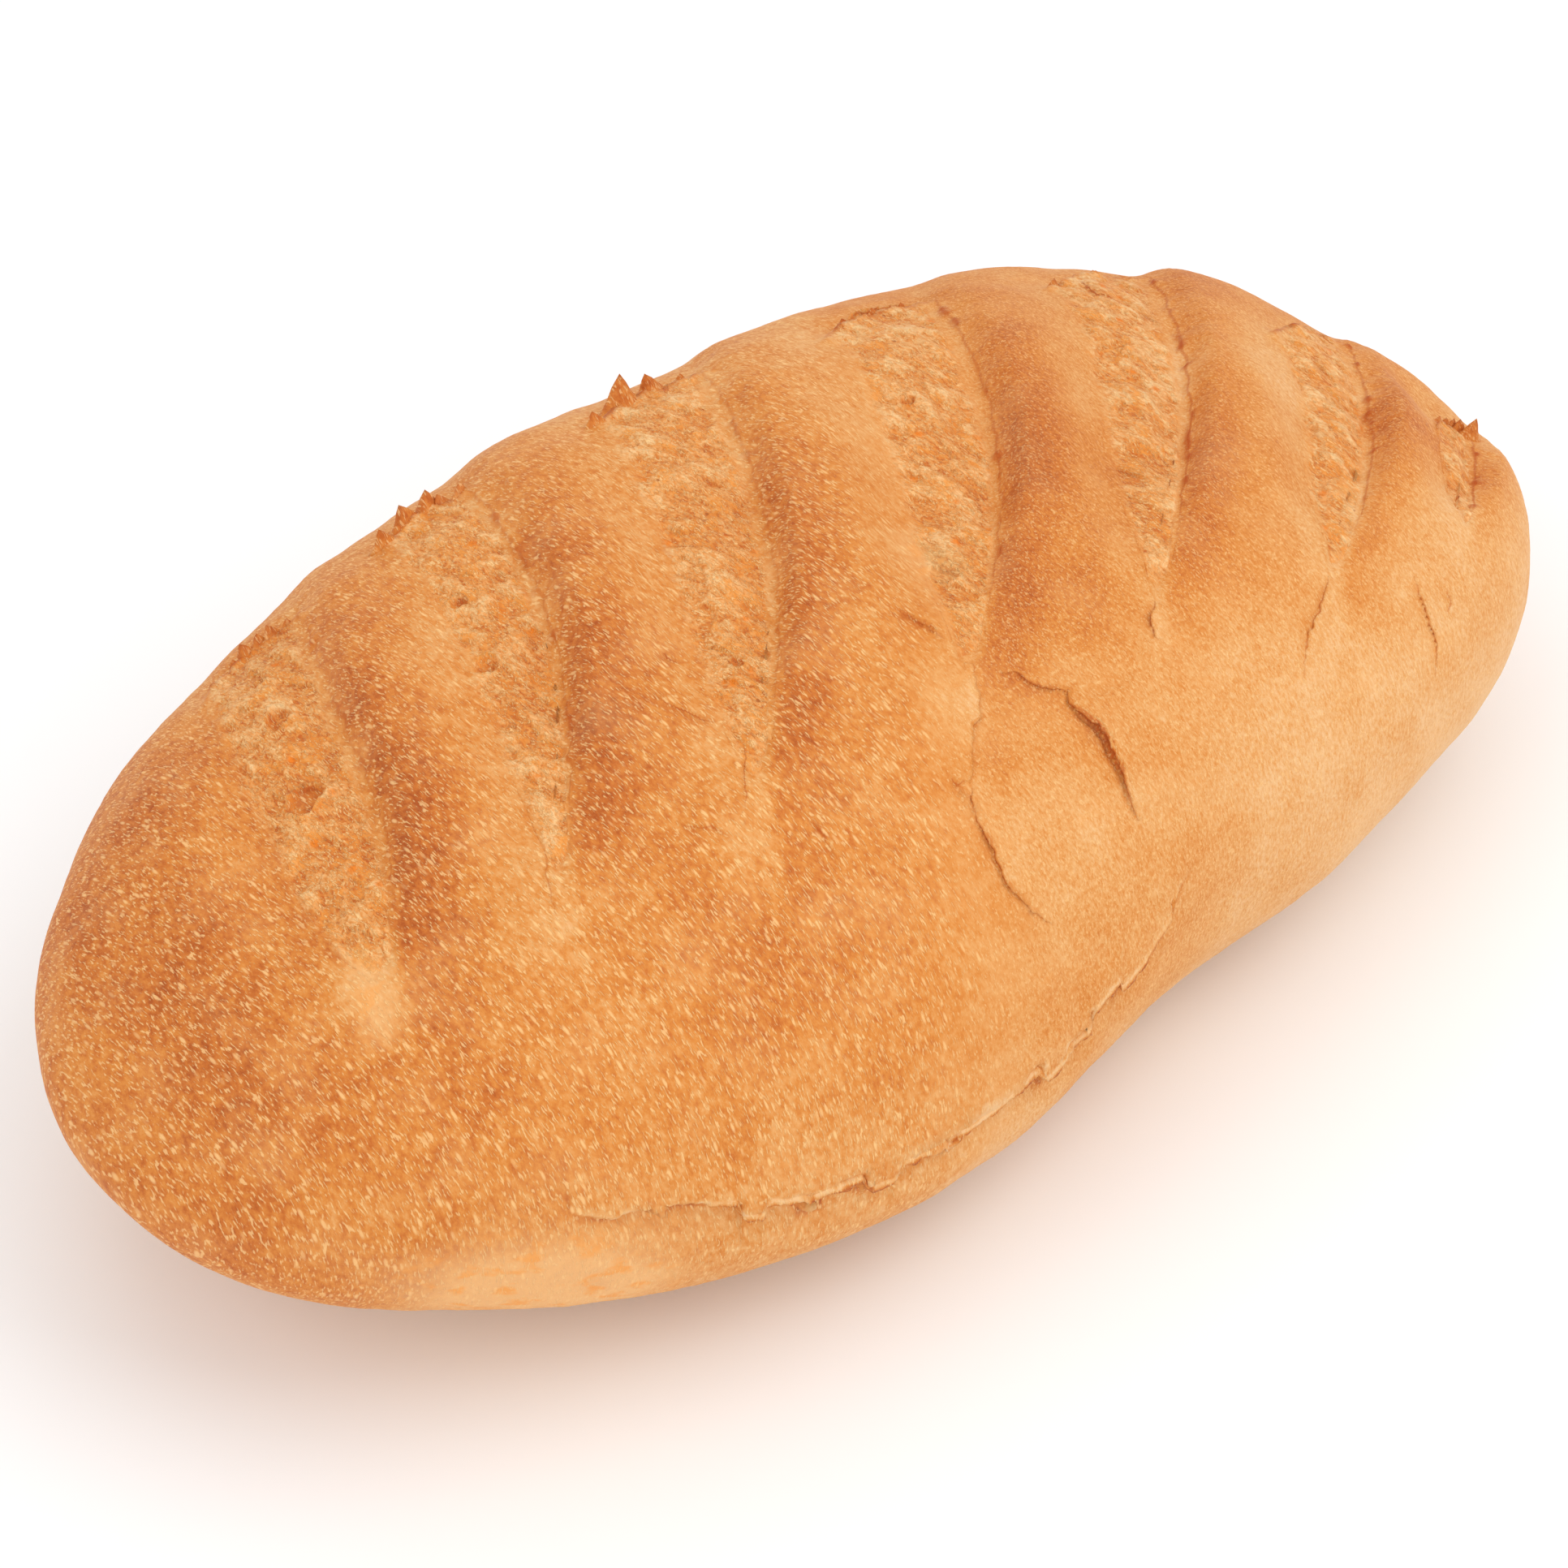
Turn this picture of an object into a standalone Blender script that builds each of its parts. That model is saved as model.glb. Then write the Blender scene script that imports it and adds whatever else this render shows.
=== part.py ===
"""Bloomer loaf: one solid of bread with seven slanting cuts across its crown.

Metres, +Z up. X runs along the loaf, and the origin is the middle of the flat base.
The loaf is laid out as upright slices that follow the slant of the cuts, so the mesh lines run along them.
The smooth shape comes first. Cuts, torn edges, seams and the unevenness of the dough are then raised on it.
"""

from collections import namedtuple

import bmesh
import bpy
import numpy as np
from mathutils import Vector, noise

# The loaf as a whole
LENGTH = 0.285
WIDTH = 0.159
HEIGHT = 0.086
WAIST = 0.0375  # height of the widest line round the loaf
BELLY_DEPTH = 0.0435  # depth of the rounded underside below the waist, before the base cuts it flat
LEFT_BLUNTNESS = 2.14  # in plan, a higher value gives a squarer end
RIGHT_BLUNTNESS = 4.79
END_ROUNDING = 1.85
LEFT_CROWN_FALL = 2.25  # in side view, how late the crown starts to fall towards each end
RIGHT_CROWN_FALL = 1.9
BELLY_RISE = 3.0  # how late the underside starts to rise towards the ends
SIDE_ROUNDING = 1.65
TAPER = -0.14  # the left end is the broader one
UPPER_ROUNDING = 2.26  # across the loaf, 2 is an ellipse and more is squarer
LOWER_ROUNDING = 2.5
CURVE = -0.0012  # how far the ends bend sideways from the middle

# The slant of the cuts in plan grows along the loaf: run along X for each metre along Y
SLANT = 0.66
SLANT_GROWTH = 2.74
SLANT_CURVING = 3.9

# Cuts, from left to right. The centre is on X at Y = 0, and the ends are on Y. The bow carries the middle of a cut
# to the right of its ends, the lean carries its near end to the right, and it widens from its near end over the
# share called opening. Depth is that of the middle, and far_share is the share of it that is left at the far end.
Cut = namedtuple("Cut", "centre near far half_width bow lean opening depth far_share")
CUTS = (
    Cut(-0.0931, -0.0270, 0.0565, 0.0095, bow=-0.0020, lean=0.0060, opening=0.38, depth=0.0042, far_share=0.50),
    Cut(-0.0607, -0.0361, 0.0560, 0.0082, bow=0.0046, lean=0.0059, opening=0.56, depth=0.0052, far_share=0.46),
    Cut(-0.0196, -0.0430, 0.0520, 0.0105, bow=0.0036, lean=0.0032, opening=0.46, depth=0.0056, far_share=0.44),
    Cut(0.0260, -0.0466, 0.0440, 0.0113, bow=0.0060, lean=0.0064, opening=0.47, depth=0.0058, far_share=0.42),
    Cut(0.0725, -0.0506, 0.0365, 0.0114, bow=0.0055, lean=0.0062, opening=0.54, depth=0.0056, far_share=0.45),
    Cut(0.1216, -0.0579, 0.0030, 0.0100, bow=0.0065, lean=0.0070, opening=0.45, depth=0.0052, far_share=0.32),
    Cut(0.1634, -0.0556, -0.0290, 0.0063, bow=0.0016, lean=0.0046, opening=0.80, depth=0.0040, far_share=0.70),
)
LEAST_HALF_WIDTH = 0.0012
SHOULDER = 0.013  # width of the soft slope on the left of a cut
BANK_FOOT, BANK_TOP = -0.0022, 0.0060  # the bank on its right, from before the torn edge to beyond it
CREST = 0.0003  # the lifted edge of crust along the bank
CREST_WIDTH = 0.0050
RIM = 0.0010  # the torn edge across the far end
RIM_WIDTH = 0.0028
RIM_REACH = 0.0300  # the hollow fades this far beyond the far end

# Torn points of crust on the far rims: which cut, place across it from -1 to 1, and height
Tooth = namedtuple("Tooth", "cut across height")
TEETH = (
    Tooth(0, -0.10, 0.0022),
    Tooth(0, 0.45, 0.0026),
    Tooth(1, -0.85, 0.0026),
    Tooth(1, -0.35, 0.0032),
    Tooth(1, 0.15, 0.0030),
    Tooth(2, -1.10, 0.0024),
    Tooth(2, -0.60, 0.0060),
    Tooth(2, -0.05, 0.0042),
    Tooth(3, -0.50, 0.0020),
    Tooth(3, 0.00, 0.0022),
    Tooth(3, 0.55, 0.0020),
    Tooth(4, -0.80, 0.0020),
    Tooth(5, 0.70, 0.0024),
    Tooth(6, -0.20, 0.0026),
    Tooth(6, 0.70, 0.0034),
)
FOOT_REACH = 0.0032  # the crust this far round a tooth is drawn up with it
FOOT_LIFT = 0.40

# Cracks in the near side, as places in plan. The crust on one side stands over the gap.
Crack = namedtuple("Crack", "places width depth lift")
CRACKS = (
    Crack(
        places=((-0.003, -0.0495), (0.005, -0.055), (0.006, -0.060), (0.006, -0.064), (0.004, -0.069)),
        width=0.0018,
        depth=0.0030,
        lift=0.0013,
    ),
    Crack(
        places=((-0.012, -0.052), (-0.018, -0.057), (-0.022, -0.064), (-0.022, -0.069), (-0.0185, -0.0740)),
        width=0.0012,
        depth=0.0022,
        lift=0.0006,
    ),
)
LIFT_REACH = 0.009  # how far from the crack the lifted crust settles down again

# The seams where the crust burst along the sides, lowest at one place and rising to both sides of it: -1 is the
# near side and 1 the far side
Seam = namedtuple("Seam", "side start end lowest_at lowest rise")
SEAMS = (
    Seam(side=-1, start=-0.092, end=0.016, lowest_at=-0.044, lowest=0.0320, rise=5.2),
    Seam(side=1, start=-0.060, end=0.085, lowest_at=-0.030, lowest=0.0350, rise=0.45),
)
SEAM_STEP = 0.0014  # how far the crust above overhangs the band below
SEAM_WIDTH = 0.0040
SEAM_BLEND = 0.0008  # half the height over which one turns into the other

# Places where the dough bulges out or is pressed in: X, Y, height, and how far in or out
Swelling = namedtuple("Swelling", "x y z reach out")
SWELLINGS = (
    Swelling(0.064, -0.068, 0.020, 0.022, -0.0010),
    Swelling(0.018, -0.076, 0.022, 0.028, -0.0026),
    Swelling(-0.108, -0.048, 0.018, 0.018, -0.0014),
    Swelling(-0.134, -0.022, 0.026, 0.020, 0.0010),
    Swelling(-0.045, -0.078, 0.024, 0.030, 0.0012),
    Swelling(0.135, 0.006, 0.050, 0.024, -0.0020),
    Swelling(-0.078, 0.056, 0.066, 0.036, -0.0022),
    Swelling(-0.045, 0.069, 0.061, 0.022, -0.0012),
    Swelling(0.128, -0.021, 0.052, 0.010, -0.0036),
)

# Unevenness of hand-shaped dough: size of the swells and their height
SWELL_SIZE, SWELL_HEIGHT = 0.042, 0.0010
RIPPLE_SIZE, RIPPLE_HEIGHT = 0.012, 0.00035
CRUMB_SIZE, CRUMB_HEIGHT = 0.0045, 0.0007  # the torn crumb in the cuts

# Mesh
SLICES = 92
POINTS_ABOVE = 32
POINTS_BELOW = (5, 4, 5)  # near flank, flat base and far flank
NARROWEST_BASE = (0.42, 0.58)  # where the base's edges go on slices too short to have one
FINER_REACH = 0.0045  # the mesh is twice as fine this near to a torn edge
FINER_RIM_REACH = 0.0070
END_LIFT = 0.003  # cutters start this far outside the crust

CRUST_COLOUR = (0.70, 0.27, 0.075, 1.0)
CRUST_ROUGHNESS = 0.62


def ease(low, high, value):
    """0 below low, 1 above high, and a smooth rise between them."""
    share = np.clip((value - low) / (high - low), 0.0, 1.0)
    return share * share * (3.0 - 2.0 * share)


def bump(distance, width):
    return np.exp(-((distance / width) ** 2))


# The smooth shape


def along(x):
    return np.clip(x / (LENGTH / 2), -1.0, 1.0)


def half_breadth(x):
    t = along(x)
    bluntness = np.where(t < 0, LEFT_BLUNTNESS, RIGHT_BLUNTNESS)
    rounding = np.maximum(1 - np.abs(t) ** bluntness, 0.0) ** (1 / END_ROUNDING)
    return WIDTH / 2 * (1 + TAPER * t) * rounding


def spine(x):
    """Sideways place of the loaf's middle line."""
    return CURVE * (along(x) ** 2 - 1 / 3)


def fullness(x, fall):
    """Height above or below the waist at x, as a share of that in the middle."""
    return np.maximum(1 - np.abs(along(x)) ** fall, 0.0) ** (1 / SIDE_ROUNDING)


def arch(x, y, rounding):
    """Height of the cross-section at y, as a share of its height in the middle."""
    offset = np.abs(y - spine(x)) / np.maximum(half_breadth(x), 1e-9)
    return np.maximum(1 - np.minimum(offset, 1.0) ** rounding, 0.0) ** (1 / rounding)


def crown(x, y):
    fall = np.where(along(x) < 0, LEFT_CROWN_FALL, RIGHT_CROWN_FALL)
    return WAIST + (HEIGHT - WAIST) * fullness(x, fall) * arch(x, y, UPPER_ROUNDING)


def belly(x, y):
    return np.maximum(WAIST - BELLY_DEPTH * fullness(x, BELLY_RISE) * arch(x, y, LOWER_ROUNDING), 0.0)


def slant(q):
    return SLANT + SLANT_GROWTH * q + SLANT_CURVING * q * q


def on_slice(q, y):
    """X of a point on the slice that crosses Y = 0 at q."""
    return q + slant(q) * y


def slice_through(x, y):
    q = x - SLANT * y
    for _ in range(8):
        growth = 1 + (SLANT_GROWTH + 2 * SLANT_CURVING * q) * y
        q = q - (on_slice(q, y) - x) / growth
    return q


def slice_ends():
    """Where the slices meet the outline: (q, near y, far y) at many slices from pole to pole."""
    turn = np.linspace(0, 2 * np.pi, 4000, endpoint=False)
    x = -LENGTH / 2 * np.cos(turn)
    y = spine(x) - half_breadth(x) * np.sign(np.sin(turn))
    q = slice_through(x, y)
    first = int(np.argmin(q))
    x, y, q = (np.roll(values, -first) for values in (x, y, q))
    last = int(np.argmax(q))
    steps = np.linspace(q[0], q[last], 1200)
    near = np.interp(steps, q[: last + 1], y[: last + 1])
    far = np.interp(steps, np.append(q[last:], q[0])[::-1], np.append(y[last:], y[0])[::-1])
    return steps, near, far


def travelled(points):
    lengths = np.linalg.norm(np.diff(points, axis=0), axis=1)
    return np.append(0.0, np.cumsum(lengths))


def slice_places():
    """The slices, evenly far apart along the crown: rows of (q, middle y, half length)."""
    q, near, far = slice_ends()
    middle, half = (near + far) / 2, (far - near) / 2
    x = on_slice(q, middle)
    run = travelled(np.stack([x, middle, crown(x, middle)], axis=1))
    wanted = np.linspace(0, run[-1], SLICES + 1)
    return np.stack([np.interp(wanted, run, values) for values in (q, middle, half)], axis=1)


def picked(points, run, wanted):
    return np.stack([np.interp(wanted, run, axis) for axis in points.T], axis=1)


def slice_outline(q, middle, half):
    """The points round one slice: over the crown from far to near, then back below."""
    y = middle + half * np.cos(np.linspace(0, np.pi, 240))
    x = on_slice(q, y)
    above = np.stack([x, y, crown(x, y)], axis=1)
    below = np.stack([x, y, belly(x, y)], axis=1)[::-1]
    run = travelled(above)
    top = picked(above, run, np.linspace(0, run[-1], POINTS_ABOVE + 1)[:-1])
    run = travelled(below)
    flat = run[below[:, 2] <= 0.0] / run[-1]
    edges = NARROWEST_BASE
    if len(flat):
        edges = (min(flat[0], edges[0]), max(flat[-1], edges[1]))
    stops = np.array([0.0, edges[0], edges[1], 1.0]) * run[-1]
    wanted = [np.linspace(stops[i], stops[i + 1], count + 1)[:-1] for i, count in enumerate(POINTS_BELOW)]
    return np.concatenate([top, picked(below, run, np.concatenate(wanted))])


# What is raised on it


def cut_shape(cut, y):
    """Share of the way along a cut, the place of its centre, and its half width there."""
    share = (y - cut.near) / (cut.far - cut.near)
    inside = np.clip(share, 0.0, 1.0)
    centre = cut.centre + cut.bow * (1 - (2 * inside - 1) ** 2) + cut.lean * (0.5 - inside)
    opening = 1 - (1 - np.clip(inside / cut.opening, 0.0, 1.0)) ** 2
    return share, centre, np.maximum(cut.half_width * opening, LEAST_HALF_WIDTH)


def cut_relief(cut, q, y):
    """A soft slope on the left, a crowned bed, and a steep bank with a lifted edge on the right."""
    share, centre, half = cut_shape(cut, y)
    present = ease(0.0, 0.38, share) * (1 - (1 - cut.far_share) * ease(0.50, 0.97, share))
    present = present * (1 - ease(0.0, RIM_REACH, y - cut.far))
    left = ease(-SHOULDER, 0.35 * SHOULDER, q - (centre - half))
    right = q - (centre + half)
    bank = 1 - ease(BANK_FOOT, BANK_TOP, right)
    crowned = 1 - 0.22 * bump((q - centre) / half + 0.15, 0.55)
    hollow = -cut.depth * present * left * bank * crowned
    crest = CREST * bump(right - BANK_TOP, CREST_WIDTH) * present
    across = 1 - ease(0.9, 1.15, np.abs(q - centre) / half)
    rim = RIM * bump(y - cut.far, RIM_WIDTH) * across
    return hollow + crest + rim


def torn_share(q, y):
    """1 on the torn crumb inside the cuts, 0 on the crust."""
    torn = np.zeros_like(q)
    for cut in CUTS:
        share, centre, half = cut_shape(cut, y)
        across = 1 - ease(0.75, 1.0, np.abs(q - centre) / half)
        torn = np.maximum(torn, across * ease(0.0, 0.1, share) * (1 - ease(0.96, 1.0, share)))
    return torn


def crack_relief(crack, x, y):
    """The crust to the right of a crack is lifted and the crust to its left sinks towards it."""
    nearest = np.full_like(x, np.inf)
    side = np.zeros_like(x)
    share = np.zeros_like(x)
    pieces = list(zip(crack.places, crack.places[1:]))
    for number, ((x0, y0), (x1, y1)) in enumerate(pieces):
        run = ((x - x0) * (x1 - x0) + (y - y0) * (y1 - y0)) / ((x1 - x0) ** 2 + (y1 - y0) ** 2)
        run = np.clip(run, 0.0, 1.0)
        away = np.hypot(x - x0 - run * (x1 - x0), y - y0 - run * (y1 - y0))
        turn = (x1 - x0) * (y - y0) - (y1 - y0) * (x - x0)
        closer = away < nearest
        nearest = np.where(closer, away, nearest)
        side = np.where(closer, np.sign(turn), side)
        share = np.where(closer, (number + run) / len(pieces), share)
    tapered = np.sin(np.pi * np.clip(share, 0.0, 1.0)) ** 0.7
    raised = crack.lift * np.exp(-nearest / LIFT_REACH) * (side > 0)
    sunk = -0.5 * crack.lift * np.exp(-2 * nearest / LIFT_REACH) * (side < 0)
    return tapered * (raised + sunk)


def seam_height(seam, x):
    return seam.lowest + seam.rise * (x - seam.lowest_at) ** 2


def seam_relief(seam, x, y, z):
    """The band below the seam lies back a little, and the crust above it stands out."""
    height = seam_height(seam, x)
    present = ease(seam.start - 0.01, seam.start, x) * (1 - ease(seam.end - 0.02, seam.end, x))
    present = present * (y * seam.side > 0)
    over = ease(-SEAM_BLEND, SEAM_BLEND, z - height)
    above = 0.6 * SEAM_STEP * bump(z - height - SEAM_WIDTH / 2, SEAM_WIDTH) * over
    below = -SEAM_STEP * bump(z - height + SEAM_WIDTH / 2, SEAM_WIDTH) * (1 - over)
    return present * (above + below)


def swelling_relief(x, y, z):
    total = np.zeros_like(x)
    for place in SWELLINGS:
        away = np.sqrt((x - place.x) ** 2 + (y - place.y) ** 2 + (z - place.z) ** 2)
        total += place.out * bump(away, place.reach)
    return total


def rough(points, size):
    """Smooth noise from -1 to 1, with swells of the given size."""
    return np.array([noise.noise(Vector(place)) for place in points / size])


def relief(points):
    """How far the real surface stands above (or below) the smooth shape, along its normal."""
    x, y, z = points.T
    q = slice_through(x, y)
    upper = ease(WAIST, WAIST + 0.012, z)
    cuts = sum(cut_relief(cut, q, y) for cut in CUTS)
    crumb = CRUMB_HEIGHT * torn_share(q, y) * rough(points, CRUMB_SIZE)
    cracks = sum(crack_relief(crack, x, y) for crack in CRACKS)
    seams = sum(seam_relief(seam, x, y, z) for seam in SEAMS)
    dough = SWELL_HEIGHT * rough(points, SWELL_SIZE) + RIPPLE_HEIGHT * rough(points, RIPPLE_SIZE)
    clear_of_base = ease(0.0005, 0.012, z)
    return upper * (cuts + crumb + cracks) + clear_of_base * (seams + dough + swelling_relief(x, y, z))


# The mesh


def vertex_array(mesh):
    return np.array([vertex.co for vertex in mesh.verts])


def shape_ball(mesh):
    """A ball whose poles are the two ends of the loaf, moved onto the smooth shape point by point."""
    places = slice_places()
    outlines = [slice_outline(*place) for place in places[1:-1]]
    around = POINTS_ABOVE + sum(POINTS_BELOW)
    bmesh.ops.create_uvsphere(mesh, u_segments=around, v_segments=SLICES, radius=1.0)
    for vertex in mesh.verts:
        x, y, z = vertex.co
        ring = round(np.arccos(np.clip(-z, -1.0, 1.0)) / np.pi * SLICES)
        if ring in (0, SLICES):
            q, middle, _ = places[ring]
            end_x = on_slice(q, middle)
            vertex.co = Vector((end_x, middle, crown(end_x, middle)))
            continue
        turn = int(np.arctan2(y, x) / (2 * np.pi) * around // 1) % around
        vertex.co = Vector(outlines[ring - 1][turn])
    if mesh.calc_volume(signed=True) < 0:
        bmesh.ops.reverse_faces(mesh, faces=mesh.faces)


def near_torn_edge(points):
    """Which points lie close enough to a bank, a rim or a seam to need a finer mesh."""
    x, y, z = points.T
    q = slice_through(x, y)
    found = np.zeros(len(points), bool)
    for cut in CUTS:
        share, centre, half = cut_shape(cut, y)
        bank = (np.abs(q - centre - half) < FINER_REACH) & (share > 0.1) & (share < 1.05)
        rim = (np.abs(y - cut.far) < FINER_RIM_REACH) & (np.abs(q - centre) < half + FINER_REACH)
        found |= (bank | rim) & (z > WAIST + 0.01)
    for seam in SEAMS:
        level = np.abs(z - seam_height(seam, x)) < FINER_REACH
        found |= level & (y * seam.side > 0) & (x > seam.start) & (x < seam.end)
    return found


def refine(mesh):
    mesh.verts.ensure_lookup_table()
    chosen = near_torn_edge(vertex_array(mesh))
    edges = [edge for edge in mesh.edges if all(chosen[vertex.index] for vertex in edge.verts)]
    bmesh.ops.subdivide_edges(mesh, edges=edges, cuts=1, use_grid_fill=True)
    mesh.verts.index_update()


def raise_relief(mesh):
    mesh.normal_update()
    smooth = vertex_array(mesh)
    normals = np.array([vertex.normal for vertex in mesh.verts])
    moved = smooth + normals * relief(smooth)[:, None]
    on_base = smooth[:, 2] <= 1e-6
    moved[:, 2] = np.where(on_base, 0.0, np.maximum(moved[:, 2], 0.0))
    moved[on_base, :2] = smooth[on_base, :2]
    for vertex, place in zip(mesh.verts, moved):
        vertex.co = Vector(place)
    mesh.normal_update()


def raise_tooth(mesh, tooth):
    """The face nearest to the tooth's place is drawn up to a point."""
    cut = CUTS[tooth.cut]
    _, centre, half = cut_shape(cut, np.array(cut.far))
    x = float(on_slice(centre + tooth.across * half, cut.far))
    place = Vector((x, cut.far, float(crown(x, cut.far))))
    upper = [face for face in mesh.faces if face.normal.z > 0 and len(face.verts) == 4]
    face = min(upper, key=lambda candidate: (candidate.calc_center_median() - place).length)
    middle = face.calc_center_median()
    rise = (face.normal + Vector((0, 0, 1))).normalized() * tooth.height
    tip = middle + rise
    for vertex in mesh.verts:
        nearness = 1 - (vertex.co - middle).length / FOOT_REACH
        if nearness > 0:
            vertex.co += rise * FOOT_LIFT * nearness
    made = bmesh.ops.poke(mesh, faces=[face])
    made["verts"][0].co = tip
    mesh.normal_update()


def link(name, mesh):
    data = bpy.data.meshes.new(name)
    mesh.to_mesh(data)
    mesh.free()
    made = bpy.data.objects.new(name, data)
    bpy.context.scene.collection.objects.link(made)
    return made


def loaf_body(name, material):
    mesh = bmesh.new()
    shape_ball(mesh)
    refine(mesh)
    raise_relief(mesh)
    for tooth in TEETH:
        raise_tooth(mesh, tooth)
    bmesh.ops.triangulate(mesh, faces=mesh.faces)
    body = link(name, mesh)
    body.data.materials.append(material)
    return body


def crack_cutter(name, crack):
    """A thin three-sided wedge along the crack, small at both ends, its edge inside the loaf."""
    places = [Vector((x, y, float(crown(x, y)))) for x, y in crack.places]
    heart = Vector((0.0, 0.0, WAIST))
    mesh = bmesh.new()
    rings = []
    for index, place in enumerate(places):
        before, after = places[max(index - 1, 0)], places[min(index + 1, len(places) - 1)]
        run = (after - before).normalized()
        side = run.cross(heart - place).normalized()
        inward = side.cross(run).normalized()
        share = 0.3 if index in (0, len(places) - 1) else 1.0
        outer = place - inward * END_LIFT
        half = side * crack.width * share
        corners = (outer - half, outer + half, place + inward * crack.depth * share)
        rings.append([mesh.verts.new(corner) for corner in corners])
    for first, second in zip(rings, rings[1:]):
        for corner in range(3):
            following = (corner + 1) % 3
            mesh.faces.new((first[corner], first[following], second[following], second[corner]))
    mesh.faces.new(rings[0][::-1])
    mesh.faces.new(rings[-1])
    bmesh.ops.recalc_face_normals(mesh, faces=mesh.faces)
    cutter = link(name, mesh)
    cutter.hide_render = True
    cutter.display_type = "WIRE"
    return cutter


def open_cracks(body):
    for number, crack in enumerate(CRACKS, start=1):
        cut = body.modifiers.new(f"crack_{number}", "BOOLEAN")
        cut.operation = "DIFFERENCE"
        cut.solver = "EXACT"
        cut.object = crack_cutter(f"crack_cutter_{number}", crack)


def crust_material():
    material = bpy.data.materials.new("crust")
    material.use_nodes = True
    shader = material.node_tree.nodes["Principled BSDF"]
    shader.inputs["Base Color"].default_value = CRUST_COLOUR
    shader.inputs["Roughness"].default_value = CRUST_ROUGHNESS
    shader.inputs["Metallic"].default_value = 0.0
    return material


def clear_scene():
    for item in list(bpy.data.objects):
        bpy.data.objects.remove(item, do_unlink=True)


def main():
    clear_scene()
    body = loaf_body("bloomer_loaf", crust_material())
    open_cracks(body)
    body.data.shade_smooth()


main()
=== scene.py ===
"""The looks of a bloomer loaf: browned and streaked crust, torn crumb in the cuts, teeth, cracks and seams.

Metres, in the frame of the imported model: +Z up, X along the loaf, the origin in the middle of the flat base.
The loaf is one ball whose points are moved onto upright slices that follow the slant of the cuts. Its relief
is then raised by functions. The crumb in each cut, the torn lips of crust and the teeth are pieces of their
own on it.
"""

import math
from collections import namedtuple

import bpy
import numpy as np
from mathutils import Matrix, Vector, noise
from mathutils.bvhtree import BVHTree


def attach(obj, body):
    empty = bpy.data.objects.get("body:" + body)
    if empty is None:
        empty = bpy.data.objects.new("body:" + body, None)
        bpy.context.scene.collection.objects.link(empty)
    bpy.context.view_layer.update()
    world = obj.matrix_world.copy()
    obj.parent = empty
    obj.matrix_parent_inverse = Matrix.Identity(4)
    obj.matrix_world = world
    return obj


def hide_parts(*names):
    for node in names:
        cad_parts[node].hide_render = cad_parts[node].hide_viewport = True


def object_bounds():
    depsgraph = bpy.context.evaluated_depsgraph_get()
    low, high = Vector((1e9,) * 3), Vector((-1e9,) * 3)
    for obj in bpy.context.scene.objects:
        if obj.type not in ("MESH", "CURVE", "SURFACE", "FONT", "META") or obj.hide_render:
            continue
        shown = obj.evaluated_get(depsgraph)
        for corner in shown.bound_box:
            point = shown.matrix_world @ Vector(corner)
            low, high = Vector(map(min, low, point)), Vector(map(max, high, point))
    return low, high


NODE = "bloomer_loaf"

# The loaf as a whole
LENGTH = 0.285
WIDTH = 0.159
HEIGHT = 0.086
WAIST = 0.0375  # height of the widest line round the loaf
BELLY_DEPTH = 0.0435  # depth of the rounded underside below the waist, before the base cuts it flat
LEFT_BLUNTNESS = 2.14  # in plan, a higher value gives a squarer end
RIGHT_BLUNTNESS = 4.79
END_ROUNDING = 1.85
LEFT_CROWN_FALL = 2.25  # in side view, how late the crown starts to fall towards each end
RIGHT_CROWN_FALL = 1.9
BELLY_RISE = 3.0
SIDE_ROUNDING = 1.65
TAPER = -0.14
UPPER_ROUNDING = 2.26
LOWER_ROUNDING = 2.5
CURVE = -0.0012

# The slant of the cuts in plan grows along the loaf: run along X for each metre along Y
SLANT = 0.66
SLANT_GROWTH = 2.74
SLANT_CURVING = 3.9

# Cuts, from left to right. The centre is on X at Y = 0, and the ends are on Y. The bow carries the middle of
# a cut to the right of its ends, the lean carries its near end to the right, and it widens from its near end
# over the share called opening. The scorch is how dark its torn edge is.
Cut = namedtuple("Cut", "centre near far half_width bow lean opening depth far_share scorch")
CUTS = (
    Cut(-0.0931, -0.0270, 0.0575, 0.0095, -0.0020, 0.0060, 0.38, depth=0.0042, far_share=0.50, scorch=0.4),
    Cut(-0.0607, -0.0361, 0.0570, 0.0082, 0.0046, 0.0059, 0.56, depth=0.0052, far_share=0.46, scorch=0.5),
    Cut(-0.0196, -0.0430, 0.0532, 0.0105, 0.0036, 0.0032, 0.46, depth=0.0056, far_share=0.44, scorch=0.4),
    Cut(0.0260, -0.0466, 0.0445, 0.0113, 0.0060, 0.0064, 0.47, depth=0.0058, far_share=0.42, scorch=0.7),
    Cut(0.0725, -0.0506, 0.0372, 0.0114, 0.0055, 0.0062, 0.54, depth=0.0056, far_share=0.45, scorch=0.9),
    Cut(0.1216, -0.0579, 0.0035, 0.0100, 0.0065, 0.0070, 0.45, depth=0.0052, far_share=0.32, scorch=0.8),
    Cut(0.1634, -0.0556, -0.0290, 0.0063, 0.0016, 0.0046, 0.80, depth=0.0040, far_share=0.70, scorch=1.1),
)
LEAST_HALF_WIDTH = 0.0012
SHOULDER = 0.013  # width of the soft slope on the left of a cut
BANK_FOOT, BANK_TOP = -0.0022, 0.0060  # the bank on its right, from before the torn edge to beyond it
BANK_STEP = 0.00034  # the torn edge of crust stands this much over the crumb
STEP_BLEND = 0.0005
CREST = 0.0002  # the swell of the rib beyond the bank
CREST_WIDTH = 0.0050
RIM = 0.0006  # the torn edge across the far end
RIM_WIDTH = 0.0020
EDGE_GROWS = (0.06, 0.22)  # the torn edge grows between these shares of the run of a cut
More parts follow.
